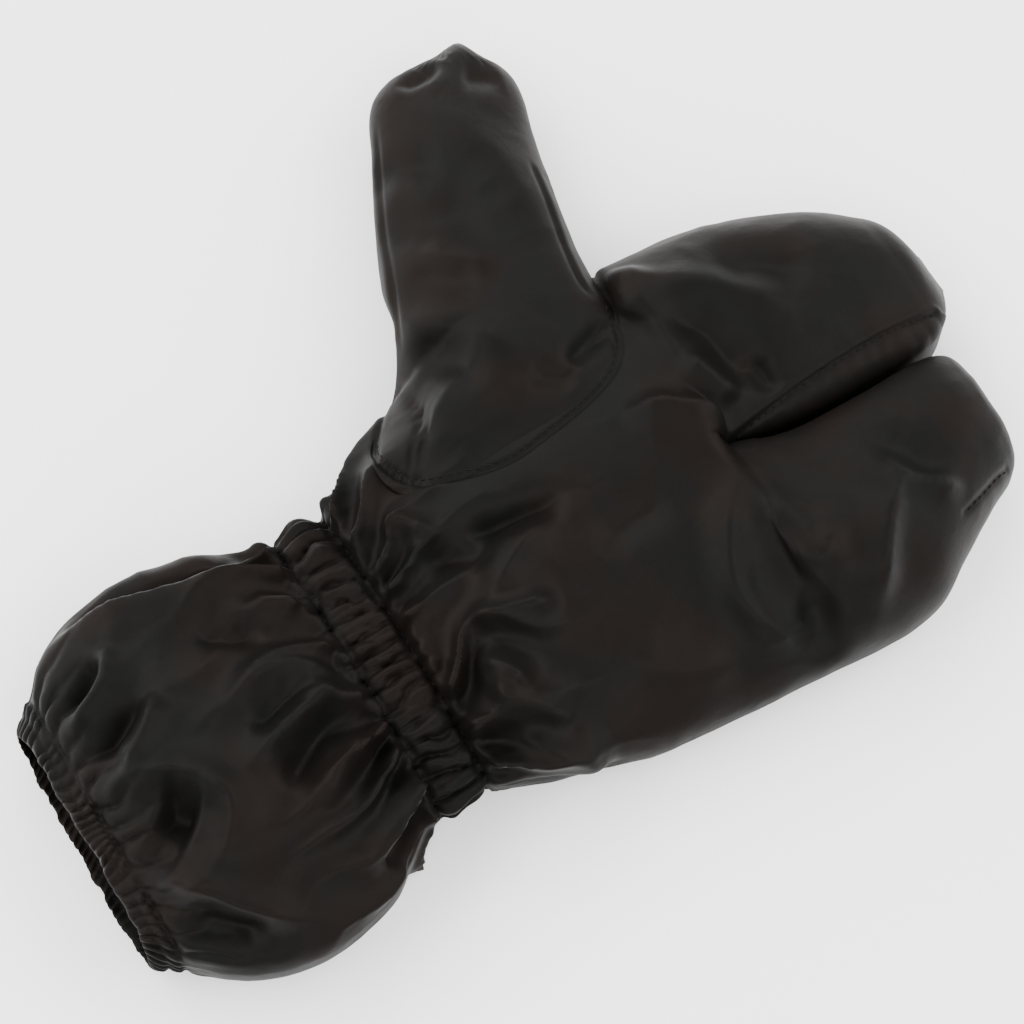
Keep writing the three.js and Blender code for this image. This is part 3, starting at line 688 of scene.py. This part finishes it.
def body_grids():
    """The grids of the tube and both finger compartments, and the tube's stations."""
    share = np.linspace(0, 1, COLUMNS + 1)[None, :]
    half = np.linspace(0, 1, MIDDLE + 1)[None, :]
    rows = [
        rows_between(MOUTH_X, HEM_X)[:-1],
        rows_between(HEM_X, -BAND_LENGTH)[:-1],
        rows_between(-BAND_LENGTH, 0, BAND_STEP)[:-1],
        rows_between(0, HAND_LENGTH),
    ]
    stations = np.concatenate(rows)[:, None]
    grids = {}
    for side, name in ((1, "palm"), (-1, "back")):
        grids[f"{name}_tube"] = tube_place(stations, share, side)
        for finger, label in ((LITTLE, "little"), (INDEX, "index")):
            count = int(round(finger[1] / STEP))
            at = np.sin(math.pi / 2 * np.linspace(0, 1, count + 1))[:, None]
            grids[f"{name}_{label}"] = finger_place(finger, at, half, side)
    return grids, stations[:, 0]


SIDES = ("palm", "back")
LABELS = ("little", "index")


def halves(ids, side, label):
    """Columns from the mouth to a fingertip."""
    tube = ids[f"{side}_tube"]
    part = tube[:, : MIDDLE + 1] if label == "little" else tube[:, MIDDLE:]
    return np.concatenate([part, ids[f"{side}_{label}"][1:]])


def ring(palm, back):
    """The rows of both sides joined into rings."""
    return np.concatenate([palm, back[:, -2:0:-1]], axis=1)


def band_arc(points, palm, back):
    """For each column round the wrist band, how far round it lies, and the whole way round."""
    places = points[np.concatenate([palm, back[-2:0:-1]])]
    steps = lengths_of(np.roll(places, -1, axis=0) - places)
    return np.concatenate([[0], np.cumsum(steps)[:-1]]), steps.sum()


def pleats(turn, count, places, seed, wander=0.5):
    """Puffed ribs with narrow valleys between them, 0 to 1, unevenly wide."""
    phase = turn * count + wander * noise(places, 19, seed) + 0.3 * noise(places, 8, seed + 1)
    full = 0.72 + 0.4 * noise(places, 9, seed + 2)
    return np.abs(np.sin(math.pi * phase)) ** 0.6 * full


def turning_places(turn, round_length, x, slant=1.0):
    """Places on a cylinder as long round as the band, so that noise meets itself."""
    radius = round_length / (2 * math.pi)
    angle = 2 * math.pi * turn
    return np.stack([radius * np.cos(angle), radius * np.sin(angle), x * slant + 0 * angle], -1)


def gather_field(x, turn, round_length):
    """Outward push of the ribs and gathers at the wrist band and beside the hem."""
    line_places = turning_places(turn, round_length, 0 * x)
    places = turning_places(turn, round_length, x)
    wavy = x + 0.9 * noise(line_places, 6, 71)
    inside = np.clip((wavy + BAND_LENGTH) / BAND_LENGTH, 0, 1)
    in_band = (wavy >= -BAND_LENGTH) & (wavy <= 0)
    from_line = np.minimum(np.abs(wavy), np.abs(wavy + BAND_LENGTH))
    beside = np.where(x > 0, x, np.where(x < -BAND_LENGTH, -BAND_LENGTH - x, 0))
    ribs = pleats(turn, WRIST_RIBS, places, 11)
    fine_ribs = pleats(turn, int(2.3 * WRIST_RIBS), places, 15)
    belly = 0.25 + 0.75 * np.sin(math.pi * inside) ** 0.6
    band = (6.2 * ribs + 1.5 * fine_ribs) * belly - 3.3
    phase = turn * (WRIST_RIBS // 2) + 0.8 * noise(places, 24, 21)
    ridges = 1 - np.abs(np.sin(math.pi * phase)) ** 0.8
    ridges = ridges * (0.9 + 0.7 * noise(line_places, 17, 22))
    near, far = 4.2 * ribs, 10.5 * ridges
    side = mix(near, far, smooth((beside - 0.5) / 6)) * np.exp(-((beside / 28) ** 1.4))
    side -= 2.6 * np.exp(-beside / 5)
    push = np.where(in_band, band, side)
    push -= 1.5 * bump(from_line, 1.3)
    from_hem = np.maximum(x - HEM_X, 0)
    hem = pleats(turn, HEM_RIBS // 2, places, 31)
    small = hem * (0.8 + 4.4 * (1 - np.exp(-from_hem / 3))) * np.exp(-from_hem / 12)
    small -= 0.7 * np.exp(-from_hem / 4)
    return push + np.where(x >= HEM_X - 0.01, small, 0)


# The body's form, and how far round each of its points lies.
grids, stations = body_grids()
body = Cloth(grids)
form, ids = body.points, body.ids
band_row = int(np.argmin(np.abs(stations + BAND_LENGTH / 2)))
arc, round_length = band_arc(form, ids["palm_tube"][band_row], ids["back_tube"][band_row])
WRIST_RIBS = int(round(round_length / WRIST_RIB_WIDTH))
HEM_RIBS = 2 * int(round(round_length * HEM_WAY_ROUND / HEM_RIB_WIDTH / 2))
turn_of = np.zeros(len(form))
turn_of[ids["palm_tube"]] = arc[: COLUMNS + 1] / round_length
back_arc = np.concatenate([[0], arc[COLUMNS + 1 :][::-1], [arc[COLUMNS]]])
turn_of[ids["back_tube"]] = back_arc / round_length

# Gathers and folds, pushed out of the form.
normals = body.normals()
x = form[:, 0]
push = gather_field(x, turn_of, round_length) * (x < 90)
outside_band = (x > 0.1) | (x < -BAND_LENGTH - 0.1)
push *= np.where(outside_band, 0.06 + 0.94 * smooth((np.abs(normals[:, 2]) - 0.12) / 0.65), 1)
palm_height = PALM_FOLD_HEIGHT - 0.6 * smooth((x - 45) / 30)
push += palm_height * fold_field(form, normals, PALM_FOLDS) * smooth((x - 2) / 10)
gauntlet_lift = GAUNTLET_FOLD_HEIGHT * fold_field(form, normals, GAUNTLET_FOLDS)
gauntlet_lift = gauntlet_lift * smooth((-BAND_LENGTH - 2 - x) / 8)
push += gauntlet_lift * smooth((x - HEM_X - 1) / 8)
in_gauntlet = np.clip((-BAND_LENGTH - x) / GAUNTLET_LENGTH, 0, 1)
push -= 2.6 * np.sin(math.pi * in_gauntlet) ** 0.7
push -= smooth(x / 20) * smooth((-20 - form[:, 1]) / 40)
target = form + normals * push[:, None]
target[:, 2] = np.maximum(target[:, 2], SETTLING_HEIGHT)

# How much more cloth there is than the form holds.
beside_band = np.where(x > 0, x, np.maximum(-BAND_LENGTH - x, 0))
beside_hem = np.maximum(x - HEM_X, 0)
gathered = np.exp(-beside_band / 13) + 0.8 * np.exp(-beside_hem / 10)
more_round = 0.003 + 0.04 * np.minimum(gathered, 1)
more_along = np.full(len(form), 0.002)
pinned = ((x >= -BAND_LENGTH - 0.1) & (x <= 0.1)) | (x <= HEM_X + 0.1)

# The thumb's form, and the part of the palm that it covers.
share = np.linspace(0, 1, THUMB_COLUMNS + 1)[None, :]
thumb_rows = int(round(THUMB_LENGTH * 1.56 / STEP))
even = np.linspace(0, 1, thumb_rows + 1)
at = mix(THUMB_SECTIONS["at"][0], 1, mix(even, np.sin(math.pi / 2 * even), 0.55))
thumb = Cloth(
    {f"{name}_thumb": thumb_place(at[:, None], share, side) for name, side in zip(SIDES, (1, -1))}
)
top_tree = tree_of(thumb.points, thumb.quads("palm_thumb"))
covered = np.zeros(len(form))
near_thumb = (x > 20) & (x < 165) & (form[:, 1] > 30) & (normals[:, 2] > 0)
for index in np.nonzero(near_thumb)[0]:
    place = Vector(form[index])
    hit = top_tree.ray_cast(place - Vector((0, 0, 12)), UP)
    if hit[0] is not None:
        covered[index] = 1
hold = np.where(pinned, 1.0, 0.012)
hold = np.maximum(hold, covered * 0.3)

lengthwise = [halves(ids, side, label) for side in SIDES for label in LABELS]
rings = [ring(ids["palm_tube"], ids["back_tube"])]
rings += [ring(ids[f"palm_{label}"], ids[f"back_{label}"]) for label in LABELS]
links = Links(target, lengthwise, rings, more_along, more_round)
shove = 0.4 * noise(form, 13, 7) + 0.5 * noise(form, 27, 4) + 0.6 * noise(form, 45, 5)
shove *= ~pinned & (covered < 0.5)
settled = settle(body, links, target, hold, shove)


def finer(points, ids):
    """The body's grids with a row and a column put between each two."""
    fine = {}
    tube_rows = ids["palm_tube"].shape[0]
    for side in SIDES:
        strips = {}
        for label in LABELS:
            strip = points[halves(ids, side, label)]
            strips[label] = np.einsum("ab,bcx->acx", halfway(strip.shape[0]), strip)
        tube_fine = 2 * tube_rows - 1
        both = [strips["little"][:tube_fine], strips["index"][:tube_fine, 1:]]
        whole = np.concatenate(both, axis=1)
        whole = np.einsum("dc,acx->adx", halfway(COLUMNS + 1), whole)
        fine[f"{side}_tube"] = whole
        for label, columns in zip(LABELS, (slice(0, COLUMNS + 1), slice(COLUMNS, None))):
            finger = np.einsum("dc,acx->adx", halfway(MIDDLE + 1), strips[label][tube_fine - 1 :])
            finger[0] = whole[-1, columns]
            fine[f"{side}_{label}"] = finger
    return fine


def crinkled(points, normals, amount, small=0.0):
    """Small creases and soft dimples of thin coated cloth, and smaller ones where small is set."""
    creases = 1 - np.abs(noise(points, 15, 51)) * 2
    fine = 1 - np.abs(noise(points, 8, 52)) * 2
    patches = smooth(0.5 + noise(points, 30, 53))
    lift = amount * (0.46 * creases * patches + 0.09 * fine + 0.16 * noise(points, 22, 54))
    lift += small * (0.5 - np.abs(noise(points, 6, 55)) * 2)
    return points + normals * lift[:, None]


# The body made finer, with its creases and the grooves of its seams.
fine = Cloth(finer(settled, body.ids))
places = fine.points
fine_normals = fine.normals()
along = places[:, 0]
beside = np.where(along > 0, along, np.maximum(-BAND_LENGTH - along, 0))
close = np.exp(-beside / 22) + 0.8 * np.exp(-np.maximum(along - HEM_X, 0) / 12)
places = crinkled(places, fine_normals, 0.8 + 0.5 * close, 0.42 * np.minimum(close, 1))
along = places[:, 0]
gap = on_line(places, curved(GUSSET_SEAM))[0]
seam_push = -0.9 * bump(gap, 0.9) + 0.55 * bump(gap - 2.2, 1.3)
puckers = np.abs(np.sin(math.pi * (along / 7.3 + 0.4 * noise(places, 9, 61)))) ** 0.7
seam_push += np.where(gap < 0, 0.5 * puckers * bump(gap + 5, 4.5), 0)
seam_push *= smooth((along - 140) / 4) * smooth(fine_normals[:, 2] / 0.2)
for line, depth, width in ((THUMB_SEAM, 1.3, 1.1), (TIP_SEAM, 0.8, 1.0)):
    gap = on_line(places, curved(line))[0]
    seam_push -= depth * bump(gap, width) * (fine_normals[:, 2] > 0)
places = places + fine_normals * seam_push[:, None]
places[:, 2] = np.maximum(places[:, 2], LEAST_HEIGHT)
fine_normals = fine.normals(places)
upper = tree_of(
    places, np.concatenate([fine.quads(name) for name in fine.grids if name.startswith("palm")])
)


def palm_height_at(place):
    """Height of the palm's cloth over a place in plan."""
    hit = upper.ray_cast(Vector((place[0], place[1], ABOVE)), -UP)
    return hit[0].z if hit[0] is not None else NOTHING


def ground_at(place):
    """The palm's height, or that of the hand's side seam where the palm ends."""
    return max(palm_height_at(place), HAND_SEAM)


# The thumb, with the rim of its front sewn on the palm along the curved seam.
base = thumb.points.copy()
front, under = (thumb.ids[f"{side}_thumb"] for side in SIDES)
seam_line = curved(THUMB_SEAM)
outward = base[:, :2] - THUMB_MIDDLE
outward /= lengths_of(outward)[:, None] + 1e-9
gap = np.abs(on_line(base, seam_line)[0])
spread = 3.4 * bump(gap, 12) * (1 - smooth((base[:, 1] - 70) / 15))
base[:, :2] += outward * spread[:, None]
seam_gap = np.abs(on_line(base, seam_line)[0])
for row, row_at in enumerate(at):
    if row_at > 0.3:
        break
    for column, index in enumerate(front[row]):
        late = 0.1 * smooth((column / THUMB_COLUMNS - 0.8) / 0.2)
        freed = smooth((row_at + 0.3 - late) / 0.3)
        place = base[index]
        gap = seam_gap[index]
        most = ground_at(place) - 1.0
        most = most + 1.9 * (1 - math.exp(-gap / 1.1)) + 0.2 * gap + 0.012 * gap**2
        place[2] = mix(min(place[2], most), place[2], freed)
for row, row_at in enumerate(at[:12]):
    if row_at < -0.5:
        for index in front[row]:
            sunk = ground_at(base[index]) - 0.8
            base[index][2] = mix(sunk, base[index][2], smooth(seam_gap[index] / 12))
for row, row_at in enumerate(at):
    if row_at < 0.3:
        room = 3 * np.sin(math.pi * share[0])
        base[under[row], 2] = np.minimum(base[under[row], 2], base[front[row], 2] - room)
base[:, 2] = np.maximum(base[:, 2], 0.3)
thumb_normals = thumb.normals(base)
push = THUMB_FOLD_HEIGHT * fold_field(base, thumb_normals, THUMB_FOLDS)
thumb_target = base + thumb_normals * push[:, None]
knob = bump(lengths_of(base[:, :2] - TIP_KNOB), 7.5)
thumb_target[:, :2] += 4.5 * knob[:, None] * THUMB_WAY
thumb_target[:, 2] += 1.5 * knob
thumb_links = Links(
    thumb_target,
    [front, under],
    [ring(front, under)],
    0.003 + 0.012 * smooth((base[:, 1] - 180) / 20),
    0.005 + 0.045 * smooth((base[:, 1] - 182) / 22),
)
kept_rows = np.zeros(len(base), bool)
kept_rows[front[:3]] = True
thumb_hold = np.where(kept_rows, 1.0, 0.006 + 0.3 * bump(seam_gap, 6))
low = np.zeros(len(base), bool)
low[under[at < 0.0]] = True
thumb_hold = np.where(low, np.maximum(thumb_hold, 0.3), thumb_hold)
shove = 0.5 * noise(base, 12, 8) + 0.8 * noise(base, 25, 9)
thumb_settled = settle(thumb, thumb_links, thumb_target, thumb_hold, shove * ~kept_rows)
grids = {}
for name, ids in thumb.ids.items():
    way = (halfway(ids.shape[0]), thumb_settled[ids], halfway(ids.shape[1]))
    grids[name] = np.einsum("ab,bcx,dc->adx", *way, optimize=True)
thumb_fine = Cloth(grids)
thumb_normals = thumb_fine.normals()
thumb_places = crinkled(thumb_fine.points, thumb_normals, 0.7)
seam_push = np.zeros(len(thumb_places))
for line in THUMB_SIDE_SEAMS:
    gap, along = on_line(thumb_places, curved(line))
    seam = 0.4 * bump(gap - 2, 1.3) - 0.8 * bump(gap, 0.9)
    seam_push += seam * smooth(np.minimum(along, 1 - along) / 0.15)
thumb_places += thumb_normals * (seam_push * (thumb_normals[:, 2] > 0))[:, None]
thumb_places[:, 2] = np.maximum(thumb_places[:, 2], LEAST_HEIGHT)


def link_mesh(name, points, faces):
    """A mesh object from points in millimetres, shaded smooth."""
    mesh = bpy.data.meshes.new(name)
    mesh.from_pydata(metres(points).tolist(), [], faces)
    mesh.validate()
    mesh.shade_smooth()
    piece = bpy.data.objects.new(name, mesh)
    bpy.context.scene.collection.objects.link(piece)
    return piece


def make_mesh(name, points, faces):
    """A mesh object of the points that some faces use. A face that lost a corner has three."""
    used, index = np.unique(faces, return_inverse=True)
    clean = [list(dict.fromkeys(face)) for face in index.reshape(faces.shape).tolist()]
    return link_mesh(name, points[used], [corners for corners in clean if len(corners) > 2])


fine_stations = halfway(len(stations)) @ stations
row_of = {
    x_value: int(np.argmin(np.abs(fine_stations - x_value)))
    for x_value in (HEM_X, -BAND_LENGTH, 0.0)
}


def piece_faces(sides, low, high):
    """Faces of one or both sides from a station to another, or from one to the fingertips."""
    if high is not None:
        rows = slice(row_of[low], row_of[high] + 1)
        return np.concatenate([fine.quads(f"{side}_tube", rows) for side in sides])
    parts = [fine.quads(f"{side}_tube", slice(row_of[low], None)) for side in sides]
    parts += [fine.quads(f"{side}_{label}") for side in sides for label in LABELS]
    return np.concatenate(parts)


PIECES = {
    "hand_palm": (("palm",), 0.0, None),
    "hand_back": (("back",), 0.0, None),
    "wrist_gathers": (SIDES, -BAND_LENGTH, 0.0),
    "gauntlet_shell": (SIDES, HEM_X, -BAND_LENGTH),
}
made = {name: make_mesh(name, places, piece_faces(*what)) for name, what in PIECES.items()}

# The thumb keeps the faces that aren't deep inside the hand.
depth = np.zeros(len(thumb_places))
at_fine = halfway(len(at)) @ at
for ids in thumb_fine.ids.values():
    for index in np.unique(ids[at_fine < 0.35]):
        depth[index] = palm_height_at(thumb_places[index]) - thumb_places[index][2]
faces = thumb_fine.faces
deep = depth[faces].min(axis=1) > 3.0
made["thumb_shell"] = make_mesh("thumb_shell", thumb_places, faces[~deep])


def shell_ring(x_place):
    """The hem's smooth ring at a station, how far round each place is, and the way round."""
    ways = np.linspace(0, 1, RING_PLACES)[None, :]
    station = np.array([[x_place]])
    palm = tube_place(station, ways, 1)[0]
    back = tube_place(station, ways, -1)[0][-2:0:-1]
    loop = np.concatenate([palm, back, palm[:1]])
    arc = far_along(loop)
    return loop, arc / arc[-1], arc[-1]


def edge_ring(turn):
    """The gauntlet's own edge beside the hem, at shares of the way round."""
    first = row_of[HEM_X]
    palm = places[fine.ids["palm_tube"][first]]
    back = places[fine.ids["back_tube"][first]][-2:0:-1]
    loop = np.concatenate([palm, back, palm[:1]])
    way = shell_ring(HEM_X)[1]
    columns = np.linspace(0, 1, len(palm))
    shares = np.linspace(0, 1, RING_PLACES)
    way_back = np.append(way[RING_PLACES - 1 : 2 * RING_PLACES - 2], 1.0)
    even_palm = np.interp(columns, shares, way[:RING_PLACES])
    even_back = np.interp(columns, shares, way_back)
    return places_along(turn, np.concatenate([even_palm, even_back[1:-1], [1.0]]), loop)


def make_hem():
    """The hem's casing: out from the gauntlet's edge, round the mouth's rim and back inside."""
    count = HEM_RIBS * 10
    turn = np.linspace(0, 1, count + 1)[:-1]
    outside = [(HEM_X - HEM_LENGTH * along, 0.0) for along in np.linspace(0, 0.9, 14)]
    rim = [(0.5, -0.15), (0.05, -0.6), (0.1, -1.1), (0.7, -1.6)]
    rim = [(MOUTH_X + back, out) for back, out in rim]
    inside = [(HEM_X - HEM_LENGTH * along, -1.8) for along in np.linspace(0.85, 0.05, 8)]
    loop, way, _ = shell_ring(HEM_X)
    from_ring = edge_ring(turn) - places_along(turn, way, loop)
    around_mouth = shell_ring(MOUTH_X)[2]
    spots = turning_places(turn, around_mouth, 0.0)
    uneven = 0.6 + 0.5 * noise(spots, 7, 45)
    rows = []
    for x_place, out in outside + rim + inside:
        loop, way, _ = shell_ring(x_place)
        here = places_along(turn, way, loop)
        tangent = np.roll(here, -5, axis=0) - np.roll(here, 5, axis=0)
        normal = unit(np.stack([0 * turn, -tangent[:, 2], tangent[:, 1]], -1))
        normal *= np.sign(((here - here.mean(axis=0)) * normal).sum())
        down = np.clip((HEM_X - x_place) / HEM_LENGTH, 0, 1)
        spots = turning_places(turn, around_mouth, x_place, 1.2)
        ribs = pleats(turn, HEM_RIBS, spots, 41, 1.7)
        swell = noise(turning_places(turn, around_mouth, x_place, 0.5), 11, 43)
        swells = np.abs(np.sin(2 * math.pi * (0.03 + 0.94 * down))) ** 0.6
        height = (1.3 + 2.7 * swells) * uneven
        row = here + normal * (height * ribs + swell + out - 0.9)[:, None]
        row[:, 0] += (0.9 * noise(spots, 5, 44) - 0.5 * ribs) * down
        if out == 0:
            row = mix(here + from_ring, row, smooth(down / 0.22))
        rows.append(row)
    grid = np.array(rows)
    grid[..., 2] = np.maximum(grid[..., 2], LEAST_HEIGHT)
    index = np.arange(grid.shape[0] * count).reshape(grid.shape[0], count)
    return make_mesh("hem_gathers", grid.reshape(-1, 3), quads_of(closed(index)))


made["hem_gathers"] = make_hem()


def surface_path(trees, line):
    """Places on the upper one of some cloths under a line in plan, with the cloth's normals."""
    far = far_along(line)
    count = int(far[-1] / 0.4) + 1
    path, ups = [], []
    for spot in places_along(np.linspace(0, far[-1], count), far, line):
        above = Vector((spot[0], spot[1], ABOVE))
        hits = [tree.ray_cast(above, -UP) for tree in trees]
        hits = [hit for hit in hits if hit[0] is not None]
        if not hits:
            continue
        hit = max(hits, key=lambda found: found[0].z)
        if abs(hit[1].z) < 0.3:
            continue
        path.append(np.array(hit[0]))
        up = np.array(hit[1])
        ups.append(up if up[2] > 0 else -up)
    return np.array(path), np.array(ups)


STITCH = 2.7
STITCH_GAP = 0.9
THREAD = 0.34
THREAD_LIFT = 0.12


def stitches(path, ups, parts):
    """Short dashes of thread along a path on the cloth, sinking in at their ends."""
    far = far_along(path)
    start = 0.5
    while start + STITCH < far[-1]:
        rings = []
        for share in np.linspace(0, 1, 7):
            distance = start + STITCH * share
            behind, centre, ahead = places_along(distance + np.array([-0.5, 0, 0.5]), far, path)
            up = places_along(distance, far, ups)
            up /= np.linalg.norm(up)
            way = ahead - behind
            way /= np.linalg.norm(way) + 1e-9
            side = np.cross(way, up)
            side /= np.linalg.norm(side) + 1e-9
            up = np.cross(side, way)
            sink = THREAD * 1.6 * (abs(2 * share - 1) ** 4)
            centre = centre + up * (THREAD_LIFT - sink)
            turn = np.linspace(0, 2 * math.pi, 7)[:-1][:, None]
            width = THREAD * (1 - 0.45 * abs(2 * share - 1) ** 3)
            rings.append(centre + width * (np.cos(turn) * side + 0.8 * np.sin(turn) * up))
        parts.append(np.array(rings))
        start += STITCH + STITCH_GAP


def make_threads(name, parts):
    """One mesh object from the rings of all the dashes, with their ends closed."""
    points, faces = [], []
    base_index = 0
    for part in parts:
        points.append(part.reshape(-1, 3))
        index = base_index + np.arange(len(points[-1])).reshape(part.shape[:2])
        faces += quads_of(closed(index))[:, [0, 3, 2, 1]].tolist()
        faces += [index[0].tolist(), index[-1][::-1].tolist()]
        base_index += len(points[-1])
    return link_mesh(name, np.concatenate(points), faces)


thumb_tree = tree_of(thumb_places, thumb_fine.quads("palm_thumb"))
threads = []
for line in (GUSSET_SEAM, TIP_SEAM):
    path, ups = surface_path([upper], curved(line))
    stitches(path, ups, threads)
around_thumb = curved(THUMB_SEAM)
inward = unit(THREAD_MIDDLE - around_thumb)
path, ups = surface_path([upper, thumb_tree], (around_thumb + 1.7 * inward)[10:-9])
stitches(path, ups, threads)
for x_place in (0.0, -BAND_LENGTH):
    row = slice(row_of[x_place], row_of[x_place] + 1)
    ring_ids = ring(fine.ids["palm_tube"][row], fine.ids["back_tube"][row])[0]
    stitches(places[ring_ids], fine_normals[ring_ids], threads)
made["seam_threads"] = make_threads("seam_threads", threads)


def new_material(name):
    """A material with its node tree and shader."""
    material = bpy.data.materials.new(name)
    material.use_nodes = True
    return material, material.node_tree, material.node_tree.nodes["Principled BSDF"]


def add(tree, kind, joined=(), **values):
    """A new node, with values for its inputs and settings, and other nodes joined to it."""
    node = tree.nodes.new(kind)
    for key, output in dict(joined).items():
        tree.links.new(output, node.inputs[key])
    for key, value in values.items():
        if key in node.inputs:
            node.inputs[key].default_value = value
        else:
            setattr(node, key, value)
    return node


def cloth_material(name, dark, warm, rough, weave_depth, crinkle_depth):
    """Thin coated cloth: plain weave, fine crinkles, warm and cool patches in near-black."""
    material, tree, shader = new_material(name)
    place = dict(Vector=add(tree, "ShaderNodeTexCoord").outputs["Object"])
    patches = add(tree, "ShaderNodeTexNoise", place, Scale=24.0, Detail=4.0, Roughness=0.55)
    ramp = add(tree, "ShaderNodeValToRGB", dict(Fac=patches.outputs["Fac"]))
    for stop, position, color in zip(ramp.color_ramp.elements, (0.38, 0.62), (dark, warm)):
        stop.position = position
        stop.color = (*color, 1)
    wear = add(tree, "ShaderNodeTexNoise", place, Scale=70.0, Detail=5.0, Roughness=0.6)
    gloss = add(tree, "ShaderNodeMapRange", dict(Value=wear.outputs["Fac"]))
    gloss.inputs["To Min"].default_value = rough - 0.07
    gloss.inputs["To Max"].default_value = rough + 0.08
    sizes = dict(Scale=190.0, Detail=4.0, Roughness=0.6, Distortion=0.6)
    crinkle = add(tree, "ShaderNodeTexNoise", place, **sizes)
    threads = [
        add(tree, "ShaderNodeTexWave", place, Scale=900.0, Distortion=0.6, bands_direction=way)
        for way in "XY"
    ]
    crossed = enumerate(wave.outputs["Fac"] for wave in threads)
    weave = add(tree, "ShaderNodeMath", crossed, operation="MULTIPLY")
    low = add(tree, "ShaderNodeBump", dict(Height=crinkle.outputs["Fac"]), Strength=0.5)
    low.inputs["Distance"].default_value = crinkle_depth
    joined = dict(Height=weave.outputs["Value"], Normal=low.outputs["Normal"])
    high = add(tree, "ShaderNodeBump", joined, Strength=0.35, Distance=weave_depth)
    tree.links.new(ramp.outputs["Color"], shader.inputs["Base Color"])
    tree.links.new(gloss.outputs["Result"], shader.inputs["Roughness"])
    tree.links.new(high.outputs["Normal"], shader.inputs["Normal"])
    shader.inputs["Metallic"].default_value = 0.5
    shader.inputs["Specular IOR Level"].default_value = 0.02
    return material


def thread_material():
    """Dull, nearly black twisted thread."""
    material, tree, shader = new_material("thread")
    place = dict(Vector=add(tree, "ShaderNodeTexCoord").outputs["Object"])
    twist = add(tree, "ShaderNodeTexWave", place, Scale=1100.0, bands_direction="DIAGONAL")
    height = dict(Height=twist.outputs["Fac"])
    low = add(tree, "ShaderNodeBump", height, Strength=0.5, Distance=0.0001)
    tree.links.new(low.outputs["Normal"], shader.inputs["Normal"])
    shader.inputs["Base Color"].default_value = (0.0012, 0.0011, 0.001, 1)
    shader.inputs["Roughness"].default_value = 0.6
    shader.inputs["Specular IOR Level"].default_value = 0.1
    return material


DARK = (0.0062, 0.0062, 0.0059)
WARM = (0.0078, 0.0061, 0.0054)
SHELL_ROUGHNESS = 0.48
ELASTIC_ROUGHNESS = 0.5
WEAVE_DEPTH = 0.00008
CRINKLE_DEPTH = 0.0003
DEPTHS = (WEAVE_DEPTH, CRINKLE_DEPTH)
shell_cloth = cloth_material("coated_cloth", DARK, WARM, SHELL_ROUGHNESS, *DEPTHS)
elastic_cloth = cloth_material("gathered_cloth", DARK, WARM, ELASTIC_ROUGHNESS, *DEPTHS)
thread = thread_material()

LOOKS = {
    "hand_palm": (shell_cloth, "shell_palm", ("palm_panel", "finger_gusset")),
    "hand_back": (shell_cloth, "shell_back", ("back_panel",)),
    "thumb_shell": (shell_cloth, "shell_palm", ("thumb_front", "thumb_back")),
    "gauntlet_shell": (shell_cloth, "shell_palm", ("gauntlet_front", "gauntlet_back")),
    "wrist_gathers": (elastic_cloth, "elastic_bands", ("wrist_band",)),
    "hem_gathers": (elastic_cloth, "elastic_bands", ("hem_band",)),
    "seam_threads": (thread, "shell_palm", ()),
}
for name, (material, slot, nodes) in LOOKS.items():
    piece = made[name]
    piece.data.materials.append(material)
    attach(piece, "root")
    if nodes:
        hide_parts(*nodes)

# Floor, lights and camera.
bpy.ops.mesh.primitive_plane_add(size=6)
floor = bpy.context.object
floor.name = "floor"
paper, _, shader = new_material("paper")
shader.inputs["Base Color"].default_value = (0.93, 0.93, 0.93, 1)
shader.inputs["Roughness"].default_value = 0.8
floor.data.materials.append(paper)

world = bpy.data.worlds.new("studio")
bpy.context.scene.world = world
world.use_nodes = True
background = world.node_tree.nodes["Background"]
background.inputs["Color"].default_value = (1, 1, 1, 1)
background.inputs["Strength"].default_value = 0.54

# What the lights and the camera look at. The camera sees VIEW_WIDTH at VIEW_DISTANCE.
CAMERA_PLACE = np.array([-191.4, -388.2, 1230.3])
SENSOR = 36
VIEW_DISTANCE = 1300
VIEW_WIDTH = 384
AIM = Vector(metres(np.array([63.0, 27.0, 25.0])))


def area_light(name, place, size, power):
    """A rectangular light in metres and watts that looks at the mitt."""
    data = bpy.data.lights.new(name, "AREA")
    data.shape = "RECTANGLE"
    data.size, data.size_y = size
    data.energy = power
    light = bpy.data.objects.new(name, data)
    light.location = place
    light.rotation_euler = (AIM - Vector(place)).to_track_quat("-Z", "Y").to_euler()
    bpy.context.scene.collection.objects.link(light)


area_light("left", (-1.0, 0.8, 0.95), (2.6, 1.8), 88)
area_light("right", (1.1, -0.45, 0.9), (1.8, 1.2), 46)
area_light("far", (0.5, 1.05, 1.0), (1.4, 0.9), 28)
area_light("near", (-0.4, -1.05, 1.0), (1.4, 0.9), 28)

camera_data = bpy.data.cameras.new("camera")
camera = bpy.data.objects.new("camera", camera_data)
bpy.context.scene.collection.objects.link(camera)
bpy.context.scene.camera = camera
camera.location = Vector(metres(CAMERA_PLACE))
camera.rotation_euler = (AIM - camera.location).to_track_quat("-Z", "Y").to_euler()
camera_data.lens = SENSOR * VIEW_DISTANCE / VIEW_WIDTH
camera_data.clip_end = 20
